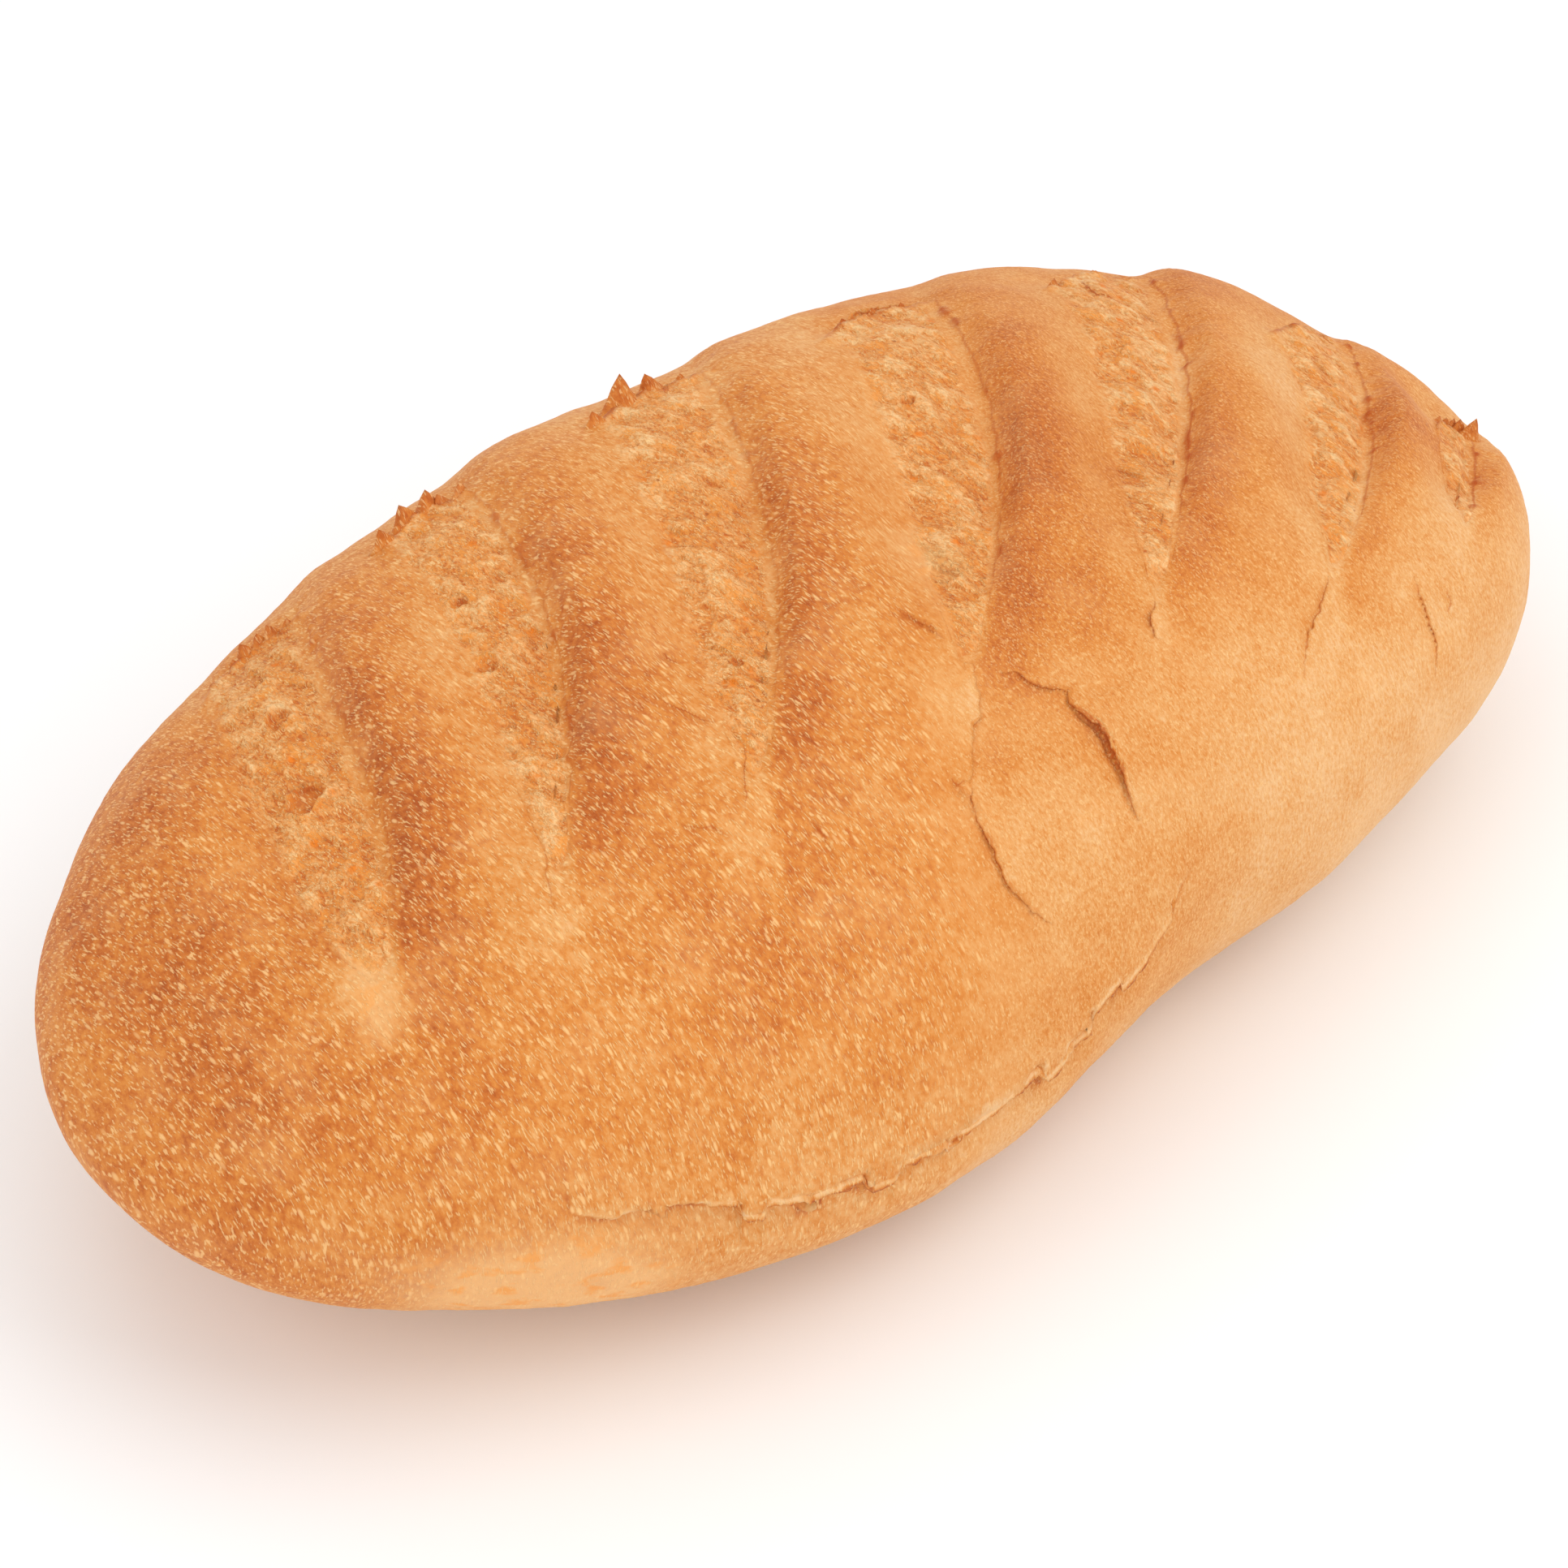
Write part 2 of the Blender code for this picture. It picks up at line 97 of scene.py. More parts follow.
RIM_REACH = 0.0300  # the hollow fades this far beyond the far end
END_CURVE = 0.0038  # the far end is rounded, and lies this much nearer at the borders of a cut
EDGE_WANDER = ((0.0050, 0.0008), (0.0018, 0.0005))  # size of the waver of a torn edge, and how far it strays
BEAD_SIZE, BEAD_REACH, BEAD_HEIGHT = 0.0036, 0.0008, 0.00040  # scorched beads of crust along a torn edge

# Torn points of crust on the far rims, cut by cut: the place across it from -1 to 1, and the height
Tooth = namedtuple("Tooth", "cut across height")
TEETH_BY_CUT = (
    ((-0.36, 0.0018), (-0.10, 0.0030), (0.14, 0.0026), (0.40, 0.0030), (0.68, 0.0020)),
    ((-0.85, 0.0034), (-0.50, 0.0026), (-0.25, 0.0048), (0.20, 0.0044), (0.50, 0.0028), (0.85, 0.0030)),
    ((-0.95, 0.0024), (-0.42, 0.0064), (0.12, 0.0044), (0.62, 0.0022)),
    ((-0.50, 0.0020), (0.00, 0.0022), (0.55, 0.0020)),
    ((-0.80, 0.0020),),
    ((0.70, 0.0014),),
    ((-0.50, 0.0016), (0.05, 0.0024), (0.35, 0.0028), (0.65, 0.0034), (0.95, 0.0040)),
)
TEETH = [Tooth(cut, *tooth) for cut, teeth in zip(CUTS, TEETH_BY_CUT) for tooth in teeth]
TOOTH_SETBACK = 0.0010  # they stand this far beyond the far end of a cut
TOOTH_BREADTH, TOOTH_DEPTH = (0.52, 0.0007), (0.36, 0.0004)  # half of each: share of the height, and more
TOOTH_BEND = 0.14  # how far the tip leans to one side, as a share of the height

# Cracks, as places in plan in millimetres, how far they gape, and how far the crust on the left of the way
# they run (seen from above) is lifted
Crack = namedtuple("Crack", "places gap lift")
FLAP_START = ((0.1, -46.3), (2.5, -47.8), (3.5, -50.9), (5.5, -52.5), (7.6, -53.8), (6.9, -55.0))
FLAP_CRACK = (
    (7.9, -53.4), (6.6, -55.5), (7.0, -57.5), (7.9, -59.9), (8.0, -61.6),
    (7.3, -63.3), (7.0, -66.2), (5.7, -69.0), (5.6, -71.7),
)
BROW_CRACK = ((-16.4, -57.8), (-14.3, -56.1), (-10.1, -51.2), (-7.9, -50.6), (-5.4, -47.6), (-1.6, -42.5))
LONG_CRACK = (
    (-16.4, -57.8), (-17.7, -59.4), (-19.4, -62.9), (-19.2, -65.3),
    (-20.0, -67.1), (-20.7, -69.8), (-19.6, -72.5), (-16.4, -75.7),
)
CRACKS = (
    Crack(FLAP_START, 0.1, 0.5),
    Crack(FLAP_CRACK, 0.75, 1.1),
    Crack(LONG_CRACK, 0.4, 0.5),
    Crack(BROW_CRACK, 0.15, 0.45),
    Crack(((-17.9, -55.0), (-18.4, -57.0), (-16.4, -56.7)), 0.3, 0.3),
    Crack(((-5.3, -27.8), (-3.9, -30.5), (-2.6, -33.1), (-2.4, -35.2), (-2.2, -38.0)), 0.3, 0.6),
    Crack(((-44, -16), (-42.4, -20), (-40.6, -24.7), (-39, -27.3)), 0.3, 0.3),
    Crack(((-35.8, -9), (-35.2, -12.6)), 0.6, 0.3),
    Crack(((-37.9, -32), (-43.8, -38.3), (-47.5, -42.6)), 0.2, 0.2),
    Crack(((-56.2, -36.5), (-55.3, -39.2), (-52.5, -41.5), (-51.5, -45.3)), 0.1, 0.3),
    Crack(((-39.7, -48.5), (-40.6, -51.2), (-41.3, -57.4)), 0.1, 0.3),
    Crack(((-72.6, -26.4), (-76, -31.4), (-79, -37)), 0.1, 0.2),
    Crack(((32, -48.4), (28.4, -50.9), (26.7, -54)), 0.3, 0.4),
    Crack(((64, -56), (61, -57.8), (55, -61), (51.7, -62.8), (46, -67)), 0.2, 0.4),
    Crack(((80, -60), (78.3, -62.5), (77.4, -66), (77.1, -68.3), (74, -71)), 0.2, 0.4),
    Crack(((85, -62.5), (83.8, -64.4), (81.6, -65.5)), 0.1, 0.3),
    Crack(((48, 44), (54, 46), (60, 46), (65, 43.5)), 0.6, 0.9),
    Crack(((97, 36), (93, 27), (94.4, 23.6)), 0.4, 0.4),
)
LIFT_REACH = 0.008  # how far from the crack the lifted crust settles down again
CRACK_REACH = 0.0025  # how far from a crack its line is looked for
CRACK_WANDER = ((0.0034, 0.00030), (0.0013, 0.00045))
GAP_WIDTH = 0.00032  # half the width of a crack that gapes by 0.5 mm
SHADE_REACH = 0.0022  # the painted shadow below a lifted edge
SHADE_EDGE = 0.0002  # and it ends this far onto the lifted crust
FAINTEST_LINE = 0.02  # torn edges and cracks fainter than this are left out

# The seams where the crust burst along the sides, lowest at one place and rising to both sides of it: -1 is
# the near side and 1 the far side
Seam = namedtuple("Seam", "side start end lowest_at lowest rise")
SEAMS = (
    Seam(side=-1, start=-0.092, end=0.016, lowest_at=-0.044, lowest=0.0320, rise=5.2),
    Seam(side=1, start=-0.060, end=0.085, lowest_at=-0.030, lowest=0.0350, rise=0.45),
)
SEAM_STEP = 0.0014  # how far the crust above overhangs the band below
SEAM_WIDTH = 0.0040
SEAM_BLEND = 0.0004
SEAM_LINE = 0.3  # how strong the dark line of painted shade along a seam is
SEAM_WANDER = ((0.0150, 0.0014), (0.0019, 0.0004))
TAB_SIZE, TAB_REACH = 0.0056, 0.0030  # the crust above hangs down in tabs

# A round spot that fades outwards, and how much it adds in its middle
Spot = namedtuple("Spot", "x y z reach amount")


def spots(*rows):
    """Spots from rows of X, Y, Z, reach and amount."""
    return [Spot(*row) for row in rows]


# Places where the dough bulges out or is pressed in
SWELLINGS = spots(
    (0.064, -0.068, 0.020, 0.022, -0.0010),
    (0.018, -0.076, 0.022, 0.028, -0.0026),
    (-0.108, -0.048, 0.018, 0.018, -0.0014),
    (-0.134, -0.022, 0.026, 0.020, 0.0010),
    (-0.045, -0.078, 0.024, 0.030, 0.0012),
    (0.135, 0.006, 0.050, 0.024, -0.0020),
    (-0.078, 0.056, 0.066, 0.036, -0.0022),
    (-0.045, 0.069, 0.061, 0.022, -0.0012),
    (0.128, -0.021, 0.052, 0.010, -0.0036),
    (0.1080, -0.0245, 0.062, 0.0026, -0.0014),
    (0.1040, -0.0290, 0.062, 0.0026, -0.0012),
)

# Unevenness of hand-shaped dough: size of the swells and their height
DOUGH = ((0.042, 0.0010), (0.012, 0.00035))
CRUST_GRAIN = ((0.0034, 0.00010), (0.0015, 0.00006))  # fine wrinkles, drawn out round the loaf
GRAIN_STRETCH = (1.0, 3.0, 3.0)
CRUMB_GRAIN = ((0.0080, 0.00030), (0.0034, 0.00024), (0.0016, 0.00018), (0.0008, 0.00009))
CRUMB_SHRED = (0.0036, 0.00038)  # torn membranes that lie over one another like steps

# Mesh of the crust
SLICES = 290
POINTS_ABOVE = 200
POINTS_BELOW = (20, 8, 20)  # near flank, flat base and far flank
NARROWEST_BASE = (0.42, 0.58)
FINER_REACH = 0.0022
OUTLINE_SAMPLES = 1500

# Mesh of the crumb in a cut
BED_ALONG, BED_ACROSS = 230, 60
BED_SPREAD = 1.20  # the crumb runs on below the crust to this many half widths from the middle
BED_BEYOND = 0.08  # and by this share of its length beyond the far end
BED_SINK = 0.0012  # how far the crust is lowered where crumb covers it
BED_CLEARANCE = 0.00004
BED_THICKNESS = 0.0030

SQUEEZE = 0.0006  # what would stand out beyond the box of the solid is pressed back into this much of it


def ease(low, high, value):
    """0 below low, 1 above high, and a smooth rise between them."""
    share = np.clip((value - low) / (high - low), 0.0, 1.0)
    return share * share * (3.0 - 2.0 * share)


def bump(distance, width):
    return np.exp(-((distance / width) ** 2))


def rough(points, size, stretch=(1.0, 1.0, 1.0), shift=0.0):
    """Smooth noise from -1 to 1, with swells of the given size."""
    scaled = points / (np.array(stretch) * size) + shift
    return np.array([noise.noise(Vector(place)) for place in scaled])


def layered(points, layers, stretch=(1.0, 1.0, 1.0), shift=0.0):
    """Several sizes of noise on one another: layers are (size, height)."""
    total = np.zeros(len(points))
    for number, (size, height) in enumerate(layers):
        total += height * rough(points, size, stretch, shift + 7.3 * number)
    return total


def unit(rows):
    """Each row as a direction of length 1."""
    return rows / np.linalg.norm(rows, axis=1)[:, None]


# The smooth shape


def along(x):
    return np.clip(x / (LENGTH / 2), -1.0, 1.0)


def half_breadth(x):
    t = along(x)
    bluntness = np.where(t < 0, LEFT_BLUNTNESS, RIGHT_BLUNTNESS)
    rounding = np.maximum(1 - np.abs(t) ** bluntness, 0.0) ** (1 / END_ROUNDING)
    return WIDTH / 2 * (1 + TAPER * t) * rounding


def spine(x):
    """Sideways place of the loaf's middle line."""
    return CURVE * (along(x) ** 2 - 1 / 3)


def fullness(x, fall):
    """Height above or below the waist at x, as a share of that in the middle."""
    return np.maximum(1 - np.abs(along(x)) ** fall, 0.0) ** (1 / SIDE_ROUNDING)


def arch(x, y, rounding):
    """Height of the cross-section at y, as a share of its height in the middle."""
    offset = np.abs(y - spine(x)) / np.maximum(half_breadth(x), 1e-9)
    return np.maximum(1 - np.minimum(offset, 1.0) ** rounding, 0.0) ** (1 / rounding)


def crown(x, y):
    fall = np.where(along(x) < 0, LEFT_CROWN_FALL, RIGHT_CROWN_FALL)
    return WAIST + (HEIGHT - WAIST) * fullness(x, fall) * arch(x, y, UPPER_ROUNDING)


def on_crown(x, y):
    """Places on the smooth crown, as rows."""
    return np.stack([x, y, crown(x, y)], axis=1)


def belly(x, y):
    return np.maximum(WAIST - BELLY_DEPTH * fullness(x, BELLY_RISE) * arch(x, y, LOWER_ROUNDING), 0.0)


def side_y(x, z, side):
    """Y of the smooth side at a height."""
    fall = np.where(along(x) < 0, LEFT_CROWN_FALL, RIGHT_CROWN_FALL)
    up = np.clip((z - WAIST) / ((HEIGHT - WAIST) * fullness(x, fall)), 0.0, 1.0)
    down = np.clip((WAIST - z) / (BELLY_DEPTH * fullness(x, BELLY_RISE)), 0.0, 1.0)
    above = (1 - up**UPPER_ROUNDING) ** (1 / UPPER_ROUNDING)
    below = (1 - down**LOWER_ROUNDING) ** (1 / LOWER_ROUNDING)
    return spine(x) + side * half_breadth(x) * np.where(z > WAIST, above, below)


def slant(q):
    return SLANT + SLANT_GROWTH * q + SLANT_CURVING * q * q


def on_slice(q, y):
    """X of a point on the slice that crosses Y = 0 at q."""
    return q + slant(q) * y


def slice_through(x, y):
    q = x - SLANT * y
    for _ in range(8):
        growth = 1 + (SLANT_GROWTH + 2 * SLANT_CURVING * q) * y
        q = q - (on_slice(q, y) - x) / growth
    return q


def slice_ends():
    """Where the slices meet the outline: (q, near y, far y) at many slices from pole to pole."""
    turn = np.linspace(0, 2 * np.pi, 8000, endpoint=False)
    x = -LENGTH / 2 * np.cos(turn)
    y = spine(x) - half_breadth(x) * np.sign(np.sin(turn))
    q = slice_through(x, y)
    first = int(np.argmin(q))
    x, y, q = (np.roll(values, -first) for values in (x, y, q))
    last = int(np.argmax(q))
    steps = np.linspace(q[0], q[last], 2400)
    near = np.interp(steps, q[: last + 1], y[: last + 1])
    far = np.interp(steps, np.append(q[last:], q[0])[::-1], np.append(y[last:], y[0])[::-1])
    return steps, near, far


def travelled(points):
    lengths = np.linalg.norm(np.diff(points, axis=0), axis=1)
    return np.append(0.0, np.cumsum(lengths))


def slice_places():
    """The slices, evenly far apart along the crown: rows of (q, middle y, half length)."""
    q, near, far = slice_ends()
    middle, half = (near + far) / 2, (far - near) / 2
    x = on_slice(q, middle)
    run = travelled(on_crown(x, middle))
    wanted = np.linspace(0, run[-1], SLICES + 1)
    return np.stack([np.interp(wanted, run, values) for values in (q, middle, half)], axis=1)


def picked(points, run, wanted):
    return np.stack([np.interp(wanted, run, axis) for axis in points.T], axis=1)


def slice_outline(q, middle, half):
    """The points round one slice: over the crown from far to near, then back below."""
    y = middle + half * np.cos(np.linspace(0, np.pi, OUTLINE_SAMPLES))
    x = on_slice(q, y)
    above = on_crown(x, y)
    below = np.stack([x, y, belly(x, y)], axis=1)[::-1]
    run = travelled(above)
    top = picked(above, run, np.linspace(0, run[-1], POINTS_ABOVE + 1)[:-1])
    run = travelled(below)
    flat = run[below[:, 2] <= 0.0] / run[-1]
    edges = NARROWEST_BASE
    if len(flat):
        edges = (min(flat[0], edges[0]), max(flat[-1], edges[1]))
    stops = np.array([0.0, edges[0], edges[1], 1.0]) * run[-1]
    wanted = [np.linspace(stops[i], stops[i + 1], count + 1)[:-1] for i, count in enumerate(POINTS_BELOW)]
    return np.concatenate([top, picked(below, run, np.concatenate(wanted))])


def slopes(height, first, second):
    """How much a height gains per metre along each of the two ways that it depends on."""
    step = 1e-4
    return (
        (height(first + step, second) - height(first - step, second)) / (2 * step),
        (height(first, second + step) - height(first, second - step)) / (2 * step),
    )


def crown_normal(x, y):
    """Outward direction of the smooth crown."""
    run_x, run_y = slopes(crown, x, y)
    return unit(np.stack([-run_x, -run_y, np.ones_like(x)], axis=1))


def side_normal(x, z, side):
    """Outward direction of the smooth side."""
    run_x, run_z = slopes(lambda x, z: side_y(x, z, side), x, z)
    return unit(side * np.stack([-run_x, np.ones_like(x), -run_z], axis=1))


# What is raised on it


def cut_length(cut):
    return cut.far - cut.near


def cut_shape(cut, y):
    """Share of the way along a cut, the place of its centre, and its half width there."""
    share = (y - cut.near) / cut_length(cut)
    inside = np.clip(share, 0.0, 1.0)
    centre = cut.centre + cut.bow * (1 - (2 * inside - 1) ** 2) + cut.lean * (0.5 - inside)
    opening = 1 - (1 - np.clip(inside / cut.opening, 0.0, 1.0)) ** 2
    return share, centre, np.maximum(cut.half_width * opening, LEAST_HALF_WIDTH)


def beyond_end(cut, across, y):
    """How far a place lies beyond the rounded far end. Across is 0 in a cut's middle and 1 at its border."""
    return y - cut.far + END_CURVE * np.minimum(np.square(across), 1.3)


def cut_present(cut, share, beyond):
    """How much of its depth a cut has along its run."""
    present = ease(0.0, 0.38, share) * (1 - (1 - cut.far_share) * ease(0.50, 0.97, share))
    return present * (1 - ease(0.0, RIM_REACH, beyond))


def cut_relief(cut, q, y, wander, beads):
    """A soft slope on the left, a crowned bed, and a bank with a torn edge on the right."""
    share, centre, half = cut_shape(cut, y)
    beyond = beyond_end(cut, (q - centre) / half, y)
    present = cut_present(cut, share, beyond)
    left = ease(-SHOULDER, 0.35 * SHOULDER, q - (centre - half))
    right = q - (centre + half) + wander
    bank = 1 - ease(BANK_FOOT, BANK_TOP, right)
    crowned = 1 - 0.22 * bump((q - centre) / half + 0.15, 0.55)
    hollow = -cut.depth * present * left * bank * crowned
    along_edge = ease(*EDGE_GROWS, share) * (1 - ease(-0.0008, 0.0016, beyond))
    step = BANK_STEP * ease(-STEP_BLEND, STEP_BLEND, right) * np.exp(-np.maximum(right, 0.0) / CREST_WIDTH)
    bead = BEAD_HEIGHT * beads * bump(right, BEAD_REACH)
    crest = CREST * bump(right - BANK_TOP, CREST_WIDTH) * present
    across = 1 - ease(0.9, 1.15, np.abs(q - centre) / half)
    rim = (RIM + BEAD_HEIGHT * beads) * bump(beyond - wander, RIM_WIDTH) * across
    return hollow + along_edge * (step + bead) + crest + rim


def torn_share(q, y, wander):
    """1 where crumb covers the crust inside the cuts, 0 on the open crust."""
    torn = np.zeros_like(q)
    for cut in CUTS:
        share, centre, half = cut_shape(cut, y)
        place = (q - centre) / half
        left = ease(-0.97, -0.70, place)
        right = 1 - ease(-0.0010, -0.0002, q - centre - half + wander)
        beyond = beyond_end(cut, place, y)
        ends = ease(0.0, 0.1, share) * (1 - ease(-0.0008, BED_BEYOND * cut_length(cut), beyond))
        torn = np.maximum(torn, left * right * ends)
    return torn


def nearest_on(places, x, y):
    """How far each point lies from a broken line in plan, on which side, and its share of the way along."""
    nearest = np.full_like(x, np.inf)
    side = np.zeros_like(x)
    share = np.zeros_like(x)
    pieces = list(zip(places, places[1:]))
    for number, ((x0, y0), (x1, y1)) in enumerate(pieces):
        run = ((x - x0) * (x1 - x0) + (y - y0) * (y1 - y0)) / ((x1 - x0) ** 2 + (y1 - y0) ** 2)
        run = np.clip(run, 0.0, 1.0)
        away = np.hypot(x - x0 - run * (x1 - x0), y - y0 - run * (y1 - y0))
        turn = (x1 - x0) * (y - y0) - (y1 - y0) * (x - x0)
        closer = away < nearest
        nearest = np.where(closer, away, nearest)
        side = np.where(closer, np.sign(turn), side)
        share = np.where(closer, (number + run) / len(pieces), share)
    return nearest, side, share


def crack_distance(crack, x, y, wander):
    """Signed distance to a crack, above 0 on its lifted side, and how open it is there."""
    nearest, side, share = nearest_on(np.array(crack.places) / 1000, x, y)
    opened = np.sin(np.pi * np.clip(share, 0.0, 1.0)) ** 0.8
    return nearest * side + wander, opened


def crack_relief(crack, x, y, wander):
    """The crust on one side of a crack is lifted and the crust on the other sinks towards it."""
    away, opened = crack_distance(crack, x, y, wander)
    raised = np.exp(-np.abs(away) / LIFT_REACH) * ease(-0.0002, 0.0003, away)
    sunk = -0.4 * np.exp(-2 * np.abs(away) / LIFT_REACH) * ease(-0.0003, 0.0002, -away)
    width = gap_width(crack, opened)
    gap = -0.7 * crack.gap * bump(away + width, width)
    return 0.001 * opened * (crack.lift * (raised + sunk) + gap)


def gap_width(crack, opened):
    return GAP_WIDTH * (0.5 + crack.gap * opened)


def crack_shade(crack, x, y, wander):
    """Painted shadow on the crust below a lifted edge, and painted shade that is darkest in the gap itself."""
    away, opened = crack_distance(crack, x, y, wander)
    width = gap_width(crack, opened)
    below = opened**2 * crack.lift * np.exp(np.minimum(away, 0.0) / SHADE_REACH) * (away < SHADE_EDGE)
    gape = opened**1.5 * min(crack.gap, 1.0) * np.exp(np.minimum(away, 0.0) / width) * (away < SHADE_EDGE)
    return below, gape


def seam_height(seam, x):
    return seam.lowest + seam.rise * (x - seam.lowest_at) ** 2


def seam_present(seam, x, y):
    run = ease(seam.start - 0.01, seam.start, x) * (1 - ease(seam.end - 0.02, seam.end, x))
    return run * (y * seam.side > 0)


def seam_tabs(points):
    """How far down the torn crust reaches along a seam: tabs with steep sides."""
    spread = points * np.array((1.0, 1.0, 0.3))
    hanging = ease(-0.02, 0.12, rough(spread, TAB_SIZE, shift=2.2)) - 0.5
    return layered(points, SEAM_WANDER) + TAB_REACH * hanging


def over_seam(seam, x, z, tabs):
    """Height above the torn edge of a seam."""
    return z - seam_height(seam, x) + tabs


def seam_relief(seam, x, y, z, tabs):
    """The band below the seam lies back a little, and the crust above it stands out."""
    rise = over_seam(seam, x, z, tabs)
    over = ease(-SEAM_BLEND, SEAM_BLEND, rise)
    above = 0.6 * SEAM_STEP * bump(rise - SEAM_WIDTH / 2, SEAM_WIDTH) * over
    below = -SEAM_STEP * bump(rise + SEAM_WIDTH / 2, SEAM_WIDTH) * (1 - over)
    return seam_present(seam, x, y) * (above + below)


def seam_shade(seam, points, tabs):
    """Painted highlight on the torn edge above a seam, and painted shadow on the crust just below it."""
    x, y, z = points.T
    rise = over_seam(seam, x, z, tabs)
    brown, pale = bump(rise + 0.0008, 0.0008), bump(rise - 0.0007, 0.0006)
    return seam_present(seam, x, y) * (0.60 * brown - 0.35 * pale)


def spotted(points, places):
    """What all the spots add at each point."""
    x, y, z = points.T
    total = np.zeros_like(x)
    for spot in places:
        away = np.sqrt((x - spot.x) ** 2 + (y - spot.y) ** 2 + (z - spot.z) ** 2)
        total += spot.amount * bump(away, spot.reach)
    return total


Marks = namedtuple("Marks", "wander crack_wander beads tabs")


def marks_at(points):
    """The small unevenness that relief and colour share."""
    return Marks(
        wander=layered(points, EDGE_WANDER),
        crack_wander=layered(points, CRACK_WANDER, shift=3.3),
        beads=ease(0.14, 0.32, rough(points, BEAD_SIZE, shift=4.4)),
        tabs=seam_tabs(points),
    )


def crust_relief(points, marks, sunk=True):
    """How far the crust stands above (or below) the smooth shape, along its normal."""
    x, y, z = points.T
    q = slice_through(x, y)
    upper = ease(WAIST, WAIST + 0.012, z)
    cuts = sum(cut_relief(cut, q, y, marks.wander, marks.beads) for cut in CUTS)
    if sunk:
        cuts = cuts - BED_SINK * torn_share(q, y, marks.wander)
    cracks = sum(crack_relief(crack, x, y, marks.crack_wander) for crack in CRACKS)
    seams = sum(seam_relief(seam, x, y, z, marks.tabs) for seam in SEAMS)
    dough = layered(points, DOUGH) + spotted(points, SWELLINGS)
    grain = layered(points, CRUST_GRAIN, GRAIN_STRETCH)
    clear_of_base = ease(0.0005, 0.012, z)
    return upper * (cuts + cracks) + clear_of_base * (seams + dough + grain)


LINE_KINDS = ("torn", "rim", "shaded_gap")


def torn_lines(points, marks):
    """The nearest torn edge or crack: signed distance in millimetres, and how strong each kind is there."""
    x, y, z = points.T
    q = slice_through(x, y)
    upper = ease(WAIST + 0.008, WAIST + 0.014, z)
    nearest = np.full_like(x, 1.0)
    kinds = {kind: np.zeros_like(x) for kind in LINE_KINDS}

    def keep(away, presence, found_kind):
        presence = presence * (1 - ease(0.6 * CRACK_REACH, CRACK_REACH, np.abs(away)))
        closer = (presence > FAINTEST_LINE) & (np.abs(away) < np.abs(nearest))
        nearest[closer] = away[closer]
        for kind in LINE_KINDS:
            kinds[kind][closer] = presence[closer] * (kind == found_kind)

    for cut in CUTS:
        share, centre, half = cut_shape(cut, y)
        beyond = beyond_end(cut, (q - centre) / half, y)
        along_edge = ease(*EDGE_GROWS, share) * (1 - ease(0.0, 0.0024, beyond))
        keep(q - centre - half + marks.wander, along_edge * upper * cut.scorch, "torn")
        within = 1 - ease(0.85, 1.05, np.abs(q - centre) / half)
        keep(beyond - marks.wander, within * upper, "rim")
    # Cracks and seams get a dark line of painted shade in their gaps
    for crack in CRACKS:
        away, opened = crack_distance(crack, x, y, marks.crack_wander)
        keep(away, opened * (z > WAIST) * min(0.35 + 1.5 * crack.gap, 1.0), "shaded_gap")
    for seam in SEAMS:
        keep(over_seam(seam, x, z, marks.tabs), SEAM_LINE * seam_present(seam, x, y), "shaded_gap")
    return 1000 * nearest, kinds


# Mesh helpers


def deselect_all():
    for item in list(bpy.context.selected_objects):
        item.select_set(False)


def choose(*pieces):
    """Selects these pieces alone, with the first of them active."""
    deselect_all()
    for piece in pieces:
        piece.select_set(True)
    bpy.context.view_layer.objects.active = pieces[0]


def made_object(name):
    made = bpy.context.object
    made.name = name
    made.data.name = name
    return made


def rows_of(piece, kind):
    """The places ("co") or the outward directions ("normal") of a piece's points."""
    flat = np.empty(len(piece.data.vertices) * 3)
    piece.data.vertices.foreach_get(kind, flat)
    return flat.reshape(-1, 3)


def points_of(piece):
    return rows_of(piece, "co")


def move_points(piece, points):
    piece.data.vertices.foreach_set("co", np.asarray(points, float).reshape(-1))
    piece.data.update()


def store(piece, name, values):
    """Keeps one number per point on the piece, for its material to read."""
    attribute = piece.data.attributes.get(name) or piece.data.attributes.new(name, "FLOAT", "POINT")
    attribute.data.foreach_set("value", np.asarray(values, np.float32))


def in_edit_mode(piece, tool, everything=True, **settings):
    """Runs one mesh tool on all of a piece, or on its selected faces."""
    choose(piece)
    bpy.ops.object.mode_set(mode="EDIT")
    if everything:
        bpy.ops.mesh.select_all(action="SELECT")
    else:
        bpy.ops.mesh.select_mode(type="FACE")
    tool(**settings)
    bpy.ops.object.mode_set(mode="OBJECT")


def smoothed(piece):
    """Turns the faces outward and shades them smoothly."""
    in_edit_mode(piece, bpy.ops.mesh.normals_make_consistent, inside=False)
    piece.data.shade_smooth()
    return piece


def thickened(piece, thickness):
    """Gives a sheet its thickness, on its inner side."""
    modifier = piece.modifiers.new("thickness", "SOLIDIFY")
    modifier.thickness = thickness
    modifier.offset = -1.0
    choose(piece)
    bpy.ops.object.modifier_apply(modifier=modifier.name)
    return smoothed(piece)


def sheet(name, across, run):
    """A flat sheet of so many faces, and each point's place across and along it, from -1 to 1."""
    deselect_all()
    bpy.ops.mesh.primitive_grid_add(x_subdivisions=across, y_subdivisions=run, size=2.0)
    piece = made_object(name)
    x, y, _ = points_of(piece).T
    return piece, x, y


def joined(pieces, name):
    choose(*pieces)
    bpy.ops.object.join()
    return made_object(name)


# The crust


def near_torn_edge(points):
    """Which points lie close enough to a torn edge, a crack or the seam to need a finer mesh."""
    away, kinds = torn_lines(points, marks_at(points))
    return (np.abs(away) < FINER_REACH * 1000) & (sum(kinds.values()) > FAINTEST_LINE)


